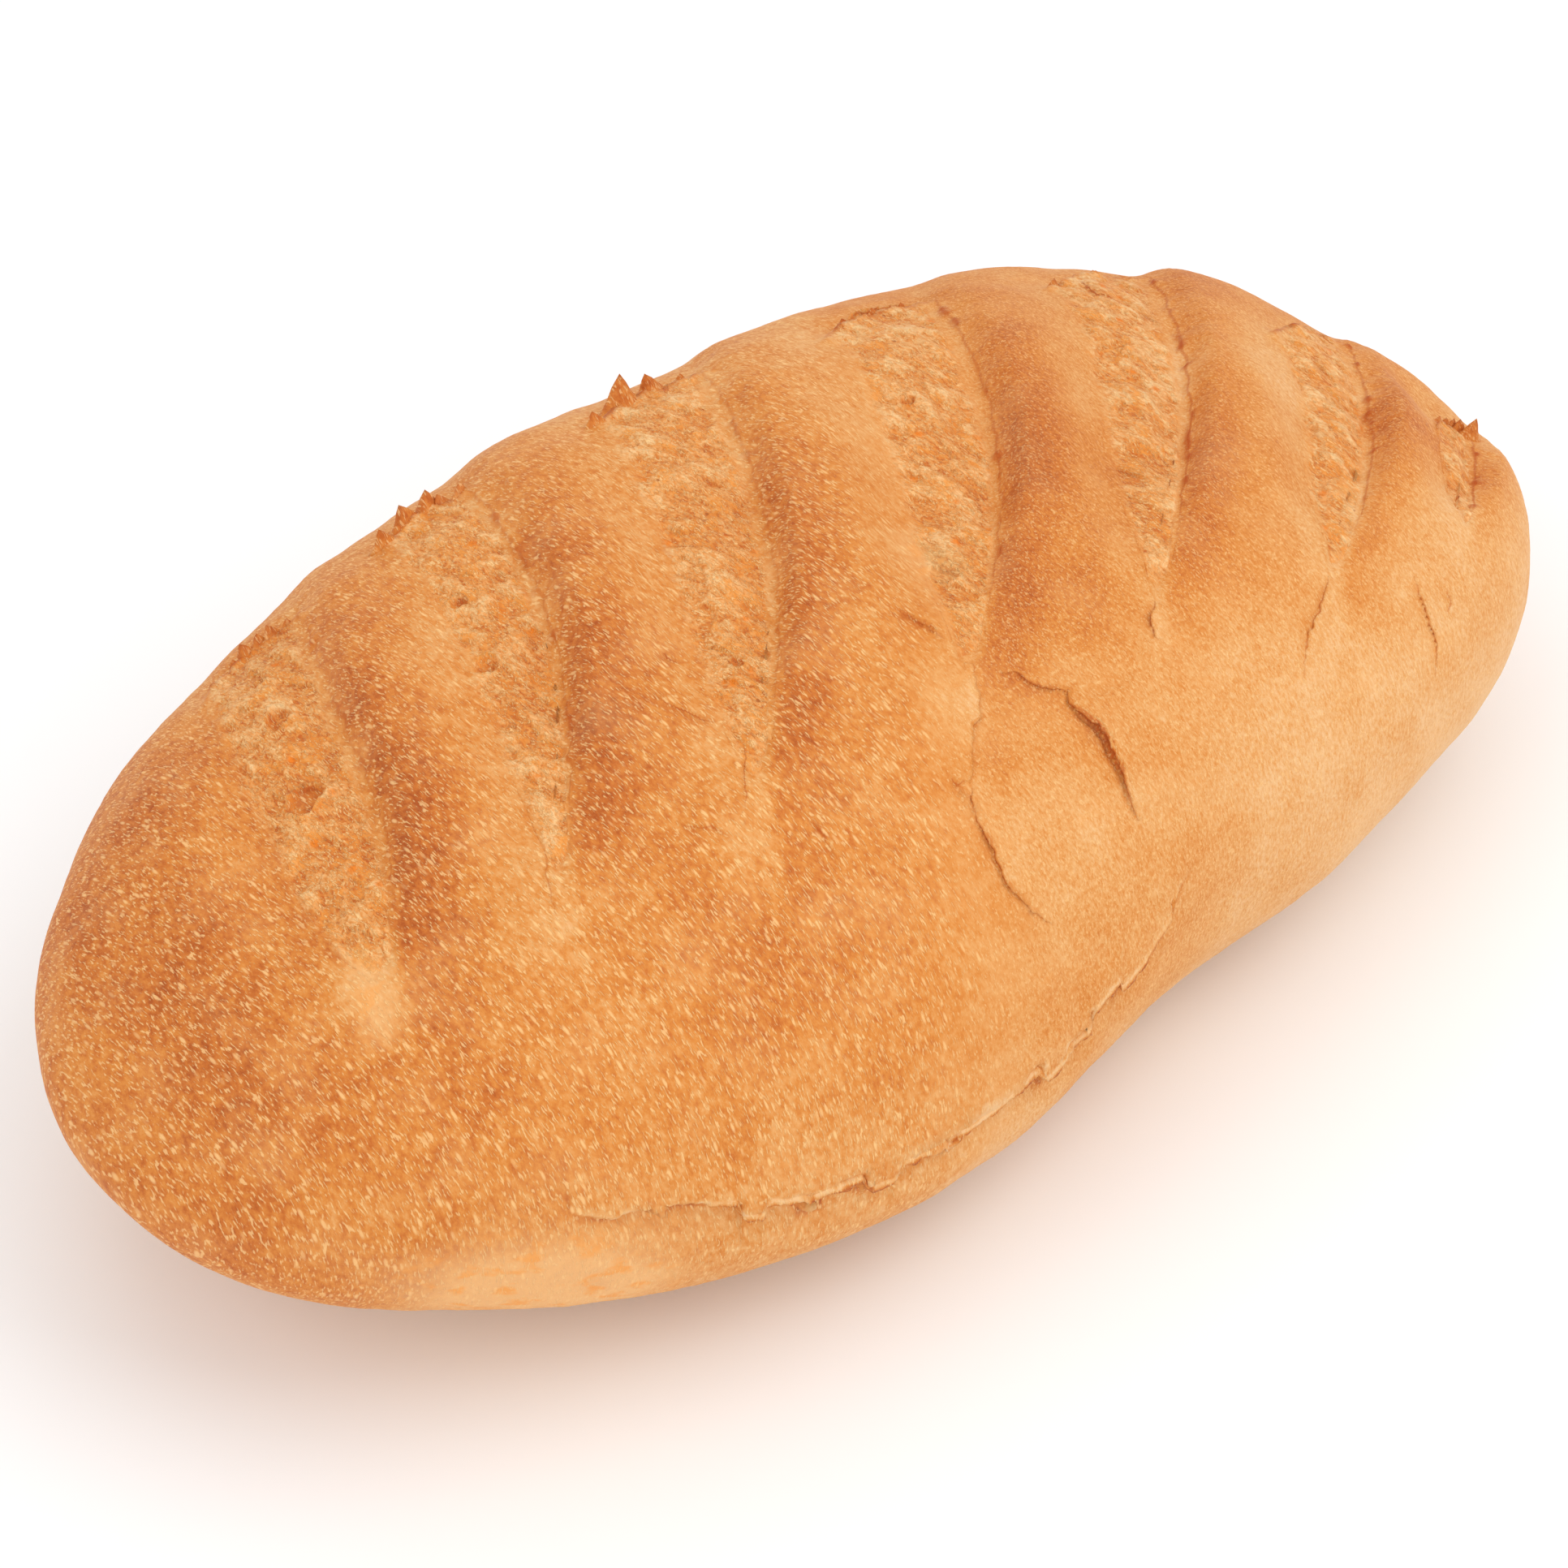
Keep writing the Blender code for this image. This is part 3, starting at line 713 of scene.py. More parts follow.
def smooth_ball(name):
    """A ball whose poles are the two ends of the loaf, moved onto the smooth shape point by point."""
    around = POINTS_ABOVE + sum(POINTS_BELOW)
    deselect_all()
    bpy.ops.mesh.primitive_uv_sphere_add(segments=around, ring_count=SLICES, radius=1.0)
    ball = made_object(name)
    places = slice_places()
    outlines = np.array([slice_outline(*place) for place in places[1:-1]])
    x, y, z = points_of(ball).T
    ring = np.rint(np.arccos(np.clip(-z, -1.0, 1.0)) / np.pi * SLICES).astype(int)
    turn = np.floor(np.arctan2(y, x) / (2 * np.pi) * around + 1e-4).astype(int) % around
    points = outlines[np.clip(ring - 1, 0, SLICES - 2), turn]
    for pole in (0, SLICES):
        q, middle, _ = places[pole]
        end_x = on_slice(q, middle)
        points[ring == pole] = (end_x, middle, crown(end_x, middle))
    move_points(ball, points)
    return ball


def refine(piece):
    """Divides the faces near torn edges once more."""
    chosen = near_torn_edge(points_of(piece))
    for kind in (piece.data.polygons, piece.data.edges, piece.data.vertices):
        kind.foreach_set("select", np.zeros(len(kind), bool))
    for face in piece.data.polygons:
        face.select = all(chosen[index] for index in face.vertices)
    in_edit_mode(piece, bpy.ops.mesh.subdivide, everything=False, number_cuts=1, smoothness=0.0)


def volume_of(piece):
    points = points_of(piece)
    piece.data.calc_loop_triangles()
    corners = np.empty(len(piece.data.loop_triangles) * 3, int)
    piece.data.loop_triangles.foreach_get("vertices", corners)
    a, b, c = points[corners.reshape(-1, 3)].transpose(1, 0, 2)
    return float(np.einsum("ij,ij->i", a, np.cross(b, c)).sum() / 6)


def crust_piece():
    crust = smooth_ball("crust")
    refine(crust)
    if volume_of(crust) < 0:
        crust.data.flip_normals()
    smooth = points_of(crust)
    marks = marks_at(smooth)
    moved = smooth + rows_of(crust, "normal") * crust_relief(smooth, marks)[:, None]
    on_base = smooth[:, 2] <= 1e-6
    moved[:, 2] = np.where(on_base, 0.0, np.maximum(moved[:, 2], 0.0))
    moved[on_base, :2] = smooth[on_base, :2]
    move_points(crust, moved)
    store_looks(crust, smooth, marks)
    crust.data.shade_smooth()
    return crust


# Browning, and the painted shade and highlight kept with it


# Spots where the crust is browner, or paler where the amount is below 0
TOASTED = spots(
    (-0.120, 0.010, 0.055, 0.045, 0.16),
    (-0.125, -0.030, 0.045, 0.030, 0.10),
    (-0.040, -0.020, 0.080, 0.030, 0.12),
    (0.045, -0.020, 0.082, 0.026, 0.16),
    (0.030, 0.040, 0.075, 0.060, -0.12),
    (0.040, -0.072, 0.060, 0.030, -0.20),
    (0.085, -0.065, 0.050, 0.032, -0.22),
    (0.060, -0.078, 0.030, 0.030, -0.25),
    (0.105, -0.062, 0.028, 0.030, -0.35),
    (0.020, -0.080, 0.024, 0.024, -0.20),
    (0.130, -0.024, 0.030, 0.020, -0.20),
    (-0.1030, -0.0205, 0.069, 0.005, -0.16),
    (-0.1055, -0.0280, 0.066, 0.007, -0.16),
    (-0.077, -0.034, 0.075, 0.010, -0.12),
    (-0.050, -0.046, 0.076, 0.010, -0.10),
    (-0.0975, -0.0630, 0.029, 0.003, 0.50),
    (-0.008, -0.047, 0.079, 0.008, -0.15),
    (0.100, -0.010, 0.068, 0.030, -0.16),
    (-0.0106, -0.0698, 0.0641, 0.022, -0.22),
    (-0.0060, 0.0200, 0.0850, 0.013, 0.24),
    (0.1122, -0.0415, 0.0574, 0.010, 0.35),
    (-0.0660, -0.0750, 0.0314, 0.020, -0.12),
    (-0.0289, -0.0795, 0.0302, 0.018, -0.20),
    (0.0885, -0.0670, 0.0469, 0.020, 0.14),
    (0.0132, 0.0192, 0.0848, 0.012, -0.13),
    (0.0895, -0.0018, 0.0726, 0.010, -0.15),
    (0.0508, -0.0470, 0.0740, 0.010, 0.13),
    (-0.0398, -0.0343, 0.0810, 0.008, -0.20),
    (-0.0662, -0.0167, 0.0799, 0.007, -0.12),
    (-0.1063, -0.0217, 0.0672, 0.005, -0.14),
    (-0.1211, -0.0419, 0.0492, 0.012, -0.10),
    (-0.0645, -0.0583, 0.0677, 0.010, 0.12),
    (-0.1027, 0.0375, 0.0646, 0.020, 0.12),
    (0.1080, -0.0245, 0.062, 0.0030, 0.70),
    (0.1040, -0.0290, 0.062, 0.0030, 0.70),
)
# Underbaked dough low on the side and in two of the cuts, which stayed pale and smooth
WAN = spots(
    (-0.113, -0.053, 0.031, 0.010, 0.70),
    (-0.103, -0.060, 0.030, 0.011, 0.95),
    (-0.094, -0.064, 0.028, 0.009, 0.80),
    (-0.110, -0.056, 0.010, 0.022, 0.50),
    (-0.1020, -0.0180, 0.0700, 0.0030, 0.45),
    (-0.1036, -0.0225, 0.0685, 0.0034, 0.55),
    (-0.1056, -0.0270, 0.0665, 0.0030, 0.55),
    (-0.1072, -0.0305, 0.0645, 0.0030, 0.45),
    (0.0112, -0.0181, 0.0810, 0.005, 0.70),
    (0.0087, -0.0255, 0.0800, 0.005, 0.90),
    (0.0040, -0.0320, 0.0790, 0.004, 0.80),
    (0.0015, -0.0370, 0.0790, 0.003, 0.60),
)
BASE_BROWNING = 0.52
BROWNING_SWELLS = ((0.026, 0.11, 0.0), (0.010, 0.10, 0.0), (0.0045, 0.08, 8.0))  # size, amount and shift
COARSE_UNTIL, COARSE_FADE = 0.040, 0.035  # the coarse streaks end at this slice, and fade before it
BEAD_SCORCH = 1.2  # how dark the beads on a torn edge are
RIM_SCORCH = (0.45, 0.55)  # the same on the far rim: everywhere, and more on the beads


def rib_browning(q, y):
    """Ribs are browned beyond each torn edge, and paler on the slope down to the next cut."""
    total = np.zeros_like(q)
    for cut in CUTS:
        share, centre, half = cut_shape(cut, y)
        present = ease(-0.25, 0.15, share) * (1 - 0.75 * ease(0.55, 1.1, share))
        right = q - centre - half
        crest = 0.22 * ease(-0.001, 0.003, right) * (1 - ease(0.006, 0.020, right))
        strip = -0.13 * bump(right + 0.0016, 0.0016)
        slope = -0.10 * bump(q - centre + half + 0.003, 0.006)
        total += present * (crest + strip + slope)
    return total


def browning(points):
    """How dark the crust is baked, from 0 to about 1."""
    x, y, z = points.T
    q = slice_through(x, y)
    total = BASE_BROWNING + ease(WAIST + 0.005, WAIST + 0.025, z) * rib_browning(q, y)
    total += spotted(points, TOASTED) - 0.34 * (1 - ease(0.004, 0.036, z))
    for size, amount, shift in BROWNING_SWELLS:
        total += amount * rough(points, size, shift=shift)
    return total


def store_looks(piece, points, marks=None):
    """Keeps what the finish depends on at every point."""
    marks = marks or marks_at(points)
    away, kinds = torn_lines(points, marks)
    x, y, z = points.T
    # Painted shadow below lifted crack edges, and painted shade in the crack gaps
    shades = [crack_shade(crack, x, y, marks.crack_wander) for crack in CRACKS]
    shade, gape = (sum(values) * (z > WAIST) for values in zip(*shades))
    # Painted highlight and painted shadow along the seams
    seam_highlight_and_shadow = sum(seam_shade(seam, points, marks.tabs) for seam in SEAMS)
    # The browning, with the painted shadow at cracks and the painted highlight and shadow along seams added in
    store(piece, "bake_and_painted_light", browning(points) + 0.45 * shade + seam_highlight_and_shadow)
    plain, on_beads = RIM_SCORCH
    beaded = BEAD_SCORCH * kinds["torn"] * marks.beads + kinds["rim"] * (plain + on_beads * marks.beads)
    # The scorch gets the scorched beads of torn edges and rims, and also the painted shade deepest in crack
    # gaps
    store(piece, "scorch", np.clip(beaded * bump(away / 1000, BEAD_REACH) + gape, 0.0, 1.0))
    store(piece, "edge", away)
    store(piece, "torn", kinds["torn"])
    store(piece, "shaded_gap", kinds["shaded_gap"])
    store(piece, "wan", np.clip(spotted(points, WAN) + 0.25 * rough(points, 0.008, shift=6.0), 0.0, 1.0))
    spread = slice_through(x, y) + 0.010 * rough(points, 0.02)
    store(piece, "coarse", 1 - ease(COARSE_UNTIL - COARSE_FADE, COARSE_UNTIL, spread))


# The crumb in the cuts


def crumb_bed(number, cut):
    """Torn crumb: a sheet laid in the hollow of a cut, its borders dipping below the crust."""
    bed, across, run = sheet(f"crumb_{number}", BED_ACROSS, BED_ALONG)
    across = across * BED_SPREAD
    length = cut_length(cut)
    share = (run + 1) / 2 * (1 + BED_BEYOND)
    y = cut.near + share * length
    _, centre, half = cut_shape(cut, y)
    x = on_slice(centre + across * half, y)
    smooth = on_crown(x, y)
    left = ease(-BED_SPREAD, -0.98, across)
    right = 1 - ease(1.06, BED_SPREAD, across)
    ends = ease(0.0, 0.10, share) * (1 - ease(0.0, 0.8 * BED_BEYOND * length, beyond_end(cut, across, y)))
    inside = left * right * ends
    ragged = 0.16 * rough(smooth, 0.0060, shift=3.1)
    strip = 0.12 * rough(smooth, 0.0090, shift=5.1)
    crumb = ease(-0.98, -0.70, across + ragged) * (1 - ease(0.68, 0.84, across + strip)) * ends
    marks = marks_at(smooth)
    raised = crumb_relief(smooth)
    height = crust_relief(smooth, marks, sunk=False) + crumb * raised
    height += BED_CLEARANCE * inside - (1 - inside) * 1.3 * BED_SINK
    move_points(bed, smooth + crown_normal(x, y) * height[:, None])
    store_looks(bed, smooth, marks)
    store(bed, "crumb", crumb)
    # The crumb's height in millimetres, from which the finish paints low crumb darker and raised crumb paler
    store(bed, "raised", 1000 * raised)
    return thickened(bed, BED_THICKNESS)


# Burst bubbles in the crumb: X, Y, radius and depth
Bubble = namedtuple("Bubble", "x y radius depth")
BUBBLES = [Bubble(*row) for row in (
    (0.0087, -0.0255, 0.0028, 0.0007),
    (-0.0899, 0.0137, 0.0030, 0.0010),
    (-0.0815, 0.0323, 0.0024, 0.0009),
    (-0.0774, 0.0444, 0.0016, 0.0007),
    (-0.0550, 0.0122, 0.0022, 0.0007),
    (-0.0479, 0.0281, 0.0018, 0.0008),
    (-0.0280, -0.0039, 0.0014, 0.0006),
    (-0.0289, -0.0190, 0.0014, 0.0005),
    (0.0369, 0.0140, 0.0018, 0.0007),
    (0.0808, 0.0089, 0.0016, 0.0006),
)]


def bubble_relief(points):
    uneven = 1 + 0.5 * rough(points, 0.0035, shift=7.7)
    total = np.zeros(len(points))
    for bubble in BUBBLES:
        away = np.hypot(points[:, 0] - bubble.x, points[:, 1] - bubble.y) * uneven
        inside = 1 - ease(0.6 * bubble.radius, bubble.radius, away)
        total += bubble.depth * (0.5 * bump(away - bubble.radius, 0.0005) - inside)
    return total


def crumb_relief(points):
    """Rough torn crumb, with membranes that lie over one another like low steps."""
    grain = layered(points, CRUMB_GRAIN, (0.75, 1.5, 1.5), shift=1.7)
    size, height = CRUMB_SHRED
    folded = rough(points, size, (0.8, 1.7, 1.7), shift=9.5)
    steps = ease(-0.04, 0.04, folded) + 0.6 * ease(-0.03, 0.03, folded - 0.3)
    return grain + height * (steps - 0.8) + bubble_relief(points)


# Torn lips of crust: thin strips that start in the crust and stand out over a gap


def surface_tree(piece):
    points = [Vector(place) for place in points_of(piece)]
    faces = [tuple(face.vertices) for face in piece.data.polygons]
    return BVHTree.FromPolygons(points, faces)


def settled(tree, place, outward):
    """The crust's surface at a place, met from outside."""
    hit = tree.ray_cast(place + outward * LOOK_FROM, -outward, LOOK_THROUGH)
    return hit[0] if hit[0] is not None else place


SEAM_LIP, SEAM_LIP_LIFT, SEAM_LIP_STEP = 0.0011, 0.0002, 0.0005
CRACK_LIP, CRACK_LIP_STEP = 0.0005, 0.0004  # the first for a crack lifted by 1 mm
LEAST_LIP = 0.4  # cracks lifted by this many millimetres get a lip of their own
STRIP_ACROSS = 5
STRIP_ROOT = 0.0018  # how far back in the crust a strip starts
STRIP_THICKNESS = 0.00035
STRIP_JAGS = ((0.0026, 0.65), (0.0009, 0.45))
STRIP_DIP, STRIP_HIDDEN = 0.0004, 0.0007  # how deep in the crust its root and its ends lie
LOOK_FROM, LOOK_THROUGH = 0.012, 0.03  # how far out the search for the crust starts, and how far it goes


def torn_strip(name, tree, route, toward, outward, tip, lift):
    """The route, toward and outward are rows: places, the way it hangs over, and the way out of the loaf."""
    count = len(route)
    strip, across, run = sheet(name, STRIP_ACROSS, count - 1)
    rows = np.rint((run + 1) / 2 * (count - 1)).astype(int)
    share = (across + 1) / 2
    jag = layered(route, STRIP_JAGS, shift=12.0)
    reach = np.maximum(tip * (0.25 + 1.5 * jag), -0.0006)
    fade = np.sin(np.pi * np.linspace(0.0, 1.0, count)) ** 0.35
    starts = route - toward * STRIP_ROOT
    feet = np.array([settled(tree, Vector(place), Vector(out)) for place, out in zip(starts, outward)])
    length = STRIP_ROOT + reach[rows] * fade[rows]
    arched = np.sin(np.pi / 2 * np.minimum(share * 1.6, 1.0))
    profile = ((lift + STRIP_DIP) * arched - STRIP_DIP) * fade[rows]
    profile = np.where((fade[rows] < 0.05) | (share < 0.01), -STRIP_HIDDEN, profile)
    moved = feet[rows] + toward[rows] * (share * length)[:, None] + outward[rows] * profile[:, None]
    move_points(strip, moved)
    store_looks(strip, moved)
    store(strip, "shaded_gap", np.zeros(len(moved)))
    return thickened(strip, STRIP_THICKNESS)


def plan_route(x, y, shift_x, shift_y):
    """Route on the smooth crown, with the way towards the shifted places and the way out."""
    route = on_crown(x, y)
    outward = crown_normal(x, y)
    way = on_crown(x + shift_x, y + shift_y) - route
    way = way - outward * np.einsum("ij,ij->i", way, outward)[:, None]
    return route, unit(way), outward


def crack_lip(tree, number, crack):
    """The lifted crust along a crack, a thin edge over its gap."""
    places = np.array(crack.places) / 1000
    run = travelled(places)
    line = picked(places, run, np.linspace(0, run[-1], int(run[-1] / CRACK_LIP_STEP)))
    drift = unit(np.gradient(line, axis=0))
    aside = np.stack([drift[:, 1], -drift[:, 0]], axis=1)
    wander = layered(on_crown(*line.T), CRACK_WANDER, shift=3.3)
    x, y = (line + aside * wander[:, None]).T
    route, way, outward = plan_route(x, y, 0.001 * aside[:, 0], 0.001 * aside[:, 1])
    return torn_strip(f"crack_{number}", tree, route, way, outward, CRACK_LIP * crack.lift, 0.0)


def seam_lip(tree, number, seam):
    """The torn crust above a seam, hanging down over the band in tabs."""
    x = np.arange(seam.start + 0.01, seam.end - 0.006, SEAM_LIP_STEP)
    z = seam_height(seam, x)
    place = np.stack([x, side_y(x, z, seam.side), z], axis=1)
    z = z - seam_tabs(place)
    route = np.stack([x, side_y(x, z, seam.side), z], axis=1)
    outward = side_normal(x, z, seam.side)
    down = np.array((0.0, 0.0, -1.0)) - outward * -outward[:, 2:]
    return torn_strip(f"seam_{number}", tree, route, unit(down), outward, SEAM_LIP, SEAM_LIP_LIFT)


# Teeth


def divided_cone(name):
    """A cone of small faces from -0.5 to 0.5 on Z, and the angle, radius and height of each point."""
    deselect_all()
    bpy.ops.mesh.primitive_cone_add(vertices=16, radius1=1.0, radius2=0.0, depth=1.0, end_fill_type="NGON")
    cone = made_object(name)
    in_edit_mode(cone, bpy.ops.mesh.subdivide, number_cuts=3)
    x, y, z = points_of(cone).T
    return cone, np.arctan2(y, x), np.hypot(x, y), z


def tooth_foot(tree, tooth):
    """Where a tooth stands on the far rim, and the way out of the crust there."""
    y = np.array([tooth.cut.far + TOOTH_SETBACK - END_CURVE * tooth.across**2])
    _, centre, half = cut_shape(tooth.cut, y)
    x = on_slice(centre + tooth.across * half, y)
    outward = Vector(crown_normal(x, y)[0])
    return np.array(settled(tree, Vector(on_crown(x, y)[0]), outward)), outward


def tooth_piece(tree, number, tooth):
    """A torn point of crust on a far rim: a soft cone with a broad foot, bent a little to one side."""
    foot, outward = tooth_foot(tree, tooth)
    rise = np.array((outward + Vector((0, 0, 1.5))).normalized())
    broad = np.cross((0.0, 1.0, 0.0), rise)
    broad = broad / np.linalg.norm(broad)
    deep = np.cross(rise, broad)
    piece, angle, radius, z = divided_cone(f"tooth_{number}")
    share = z + 0.5
    swell = (1.001 - share) ** -0.35 * (0.85 + 0.6 * (1 - share) ** 3)
    flare = radius * swell * (1 + 0.12 * np.sin(3 * angle + number))
    bend = TOOTH_BEND * tooth.height * share**2 * (-1) ** number
    breadth, depth = (part * tooth.height + more for part, more in (TOOTH_BREADTH, TOOTH_DEPTH))
    body = foot + np.outer(flare * np.cos(angle) * breadth + bend, broad)
    body = body + np.outer(flare * np.sin(angle) * depth, deep)
    body = body + np.outer((share * 1.2 - 0.2) * tooth.height, rise)
    move_points(piece, body)
    store_looks(piece, body)
    store(piece, "bake_and_painted_light", 0.45 + 0.35 * share)
    store(piece, "scorch", 0.35 * ease(0.70, 1.0, share))
    store(piece, "torn", np.zeros(len(body)))
    return smoothed(piece)


# Materials


def linear(red, green, blue):
    """A colour named by its screen values, 0 to 255, as the light that it gives back."""
    parts = [value / 255 for value in (red, green, blue)]
    return tuple(p / 12.92 if p <= 0.04045 else ((p + 0.055) / 1.055) ** 2.4 for p in parts) + (1.0,)


class Finish:
    """A material's nodes, with short ways to add them."""

    def __init__(self, name):
        self.material = bpy.data.materials.new(name)
        self.material.use_nodes = True
        self.tree = self.material.node_tree
        self.shader = self.tree.nodes["Principled BSDF"]
        self.place = self.add("ShaderNodeTexCoord").outputs["Object"]

    def add(self, kind, inputs=None, **settings):
        """A node with its settings, and with values or other nodes' outputs fed to its inputs."""
        node = self.tree.nodes.new(kind)
        for name, value in settings.items():
            setattr(node, name, value)
        for name, value in (inputs or {}).items():
            self.feed(node.inputs[name], value)
        return node

    def feed(self, socket, value):
        if isinstance(value, bpy.types.NodeSocket):
            self.tree.links.new(value, socket)
        else:
            socket.default_value = value

    def attribute(self, name):
        return self.add("ShaderNodeAttribute", attribute_name=name).outputs["Fac"]

    def sized(self, size):
        """The piece's own place, counted in units of size along each axis."""
        inputs = {"Vector": self.place, "Scale": size}
        return self.add("ShaderNodeMapping", inputs, vector_type="TEXTURE").outputs["Vector"]

    def noise(self, size, detail=2.0, roughness=0.5, distortion=0.0):
        inputs = {"Vector": self.sized(size), "Scale": 1.0, "Detail": detail}
        inputs |= {"Roughness": roughness, "Distortion": distortion}
        return self.add("ShaderNodeTexNoise", inputs).outputs["Fac"]

    def cells(self, size):
        """Distance to the middle of the nearest cell, and that cell's own colour."""
        node = self.add("ShaderNodeTexVoronoi", {"Vector": self.sized(size), "Scale": 1.0})
        return node.outputs["Distance"], node.outputs["Color"]

    def math(self, operation, first, second=0.0):
        return self.add("ShaderNodeMath", {0: first, 1: second}, operation=operation).outputs[0]

    def sum(self, first, second):
        return self.math("ADD", first, second)

    def times(self, first, second):
        return self.math("MULTIPLY", first, second)

    def less(self, first, second):
        return self.math("SUBTRACT", first, second)

    def blend(self, share, first, second):
        """The first number where the share is 0, and the second where it is 1."""
        return self.sum(first, self.times(share, self.less(second, first)))

    def between(self, value, low, high):
        """0 at low and 1 at high, smoothly. Low may be the greater."""
        inputs = {"Value": value, "From Min": low, "From Max": high}
        return self.add("ShaderNodeMapRange", inputs, interpolation_type="SMOOTHSTEP").outputs["Result"]

    def mix(self, share, first, second):
        """The first colour where the share is 0, and the second where it is 1."""
        return self.add("ShaderNodeMix", {0: share, 6: first, 7: second}, data_type="RGBA").outputs[2]

    def ramp(self, value, stops):
        node = self.add("ShaderNodeValToRGB", {"Fac": value})
        elements = node.color_ramp.elements
        while len(elements) < len(stops):
            elements.new(0.5)
        for element, (position, colour) in zip(elements, stops):
            element.position = position
            element.color = colour
        return node.outputs["Color"]

    def red(self, colour):
        return self.add("ShaderNodeSeparateColor", {0: colour}).outputs[0]

    def shade(self, colour, roughness, shine=0.5):
        inputs = {"Base Color": colour, "Roughness": roughness, "Specular IOR Level": shine}
        for name, value in inputs.items():
            self.feed(self.shader.inputs[name], value)

    def bumped(self, height, distance):
        node = self.add("ShaderNodeBump", {"Strength": 1.0, "Distance": distance, "Height": height})
        self.feed(self.shader.inputs["Normal"], node.outputs["Normal"])


BAKE_COLOURS = (
    (0.00, linear(233, 185, 132)),
    (0.25, linear(224, 160, 94)),
    (0.50, linear(214, 134, 58)),
    (0.75, linear(196, 108, 41)),
    (1.00, linear(168, 80, 26)),
)
CRUMB_COLOURS = (
    (0.32, linear(240, 192, 134)),
    (0.43, linear(230, 164, 98)),
    (0.54, linear(216, 136, 62)),
    (0.66, linear(192, 98, 34)),
)
STREAK_COLOUR = linear(249, 204, 140)
HOLLOW_COLOUR = linear(222, 176, 112)
WAN_COLOUR = linear(240, 188, 128)
# Scorched crust, also used for the painted shade deepest in crack gaps
SCORCH_COLOUR = linear(180, 76, 6)
# Painted shade in crack gaps and below seam edges
GAP_SHADE_COLOUR = linear(180, 80, 12)
GLOW_COLOUR = linear(238, 152, 62)
AMBER_COLOUR = linear(232, 122, 14)
# Painted shade inside the pores
PORE_SHADE_COLOUR = linear(160, 82, 26)
LOAF_ROUGHNESS, LOAF_SHINE = 0.60, 0.20
GRAIN_HEIGHT = 0.00016


def crust_looks(finish):
    """Colour and height of crust: golden brown, closely covered with pale drawn-out streaks."""
    coarse = finish.attribute("coarse")
    fine_mottle = finish.noise((0.0005, 0.0011, 0.0011), 4.0, 0.75)
    mottle = finish.blend(coarse, fine_mottle, finish.noise((0.0010, 0.0020, 0.0020), 4.0, 0.7))
    # The level follows the browning and the painted shade and highlight kept with it
    level = finish.sum(finish.attribute("bake_and_painted_light"), finish.times(finish.less(mottle, 0.5), 1.25))
    fine_grain = finish.noise((0.00032, 0.0006, 0.0006), 1.0)
    grain = finish.blend(coarse, fine_grain, finish.noise((0.00026, 0.0012, 0.0012), 1.0))
    fine = finish.times(finish.between(grain, 0.54, 0.68), finish.blend(coarse, 0.60, 0.90))
    distance, colour = finish.cells((0.0008, 0.0030, 0.0030))
    chance = finish.between(finish.red(colour), 0.60, 0.95)
    blister = finish.times(finish.between(distance, 0.42, 0.15), chance)
    streaks = finish.math("MAXIMUM", fine, finish.times(blister, finish.blend(coarse, 0.35, 1.0)))
    wan = finish.attribute("wan")
    base = finish.mix(finish.times(wan, 0.75), finish.ramp(level, BAKE_COLOURS), WAN_COLOUR)
    amber = finish.times(finish.between(finish.noise((0.0060, 0.0030, 0.0030)), 0.52, 0.68), wan)
    base = finish.mix(finish.times(amber, 0.7), base, GLOW_COLOUR)
    shown = finish.times(streaks, finish.less(0.66, finish.times(wan, 0.3)))
    return finish.mix(shown, base, STREAK_COLOUR), finish.sum(finish.times(streaks, 0.4), mottle)


def crumb_looks(finish):
    """Colour and height of torn crumb: mottled, with pale wavy membranes, amber dots, and pores drawn as dark
    spots of painted shade; low crumb is painted darker and raised crumb paler, as painted shade and light.
    """
    wide = finish.noise((0.0036, 0.0060, 0.0060), 2.0, 0.6, 0.8)
    fine = finish.noise((0.0007, 0.0015, 0.0015), 2.0, 0.65, 1.0)
    shift = finish.times(finish.less(finish.attribute("bake_and_painted_light"), 0.5), 0.25)
    # Painted shade and light: low crumb is drawn darker and raised crumb paler
    shift = finish.sum(shift, finish.times(finish.attribute("raised"), -0.15))
    level = finish.sum(finish.sum(finish.times(wide, 0.34), finish.times(fine, 0.66)), shift)
    base = finish.ramp(level, CRUMB_COLOURS)
    fibres = finish.between(finish.noise((0.00034, 0.0013, 0.0013), 1.0, 0.5, 1.6), 0.52, 0.66)
    glow = finish.mix(finish.times(finish.between(wide, 0.50, 0.66), 0.5), base, GLOW_COLOUR)
    wan = finish.between(finish.attribute("wan"), 0.3, 0.8)
    hollow = finish.mix(finish.times(wan, 0.6), glow, HOLLOW_COLOUR)
    pale = finish.mix(finish.times(fibres, 0.60), hollow, STREAK_COLOUR)
    distance, colour = finish.cells((0.0040, 0.0044, 0.0044))
    chance = finish.red(colour)
    dots = finish.times(finish.between(distance, 0.26, 0.08), finish.between(chance, 0.68, 0.76))
    # Pores: dark spots of painted shade in small holes
    pores = finish.times(finish.between(distance, 0.12, 0.06), finish.between(chance, 0.26, 0.22))
    dotted = finish.mix(finish.times(dots, 0.75), pale, AMBER_COLOUR)
    holed = finish.mix(finish.times(pores, 0.7), dotted, PORE_SHADE_COLOUR)
    return holed, finish.sum(fine, finish.times(fibres, 0.5))


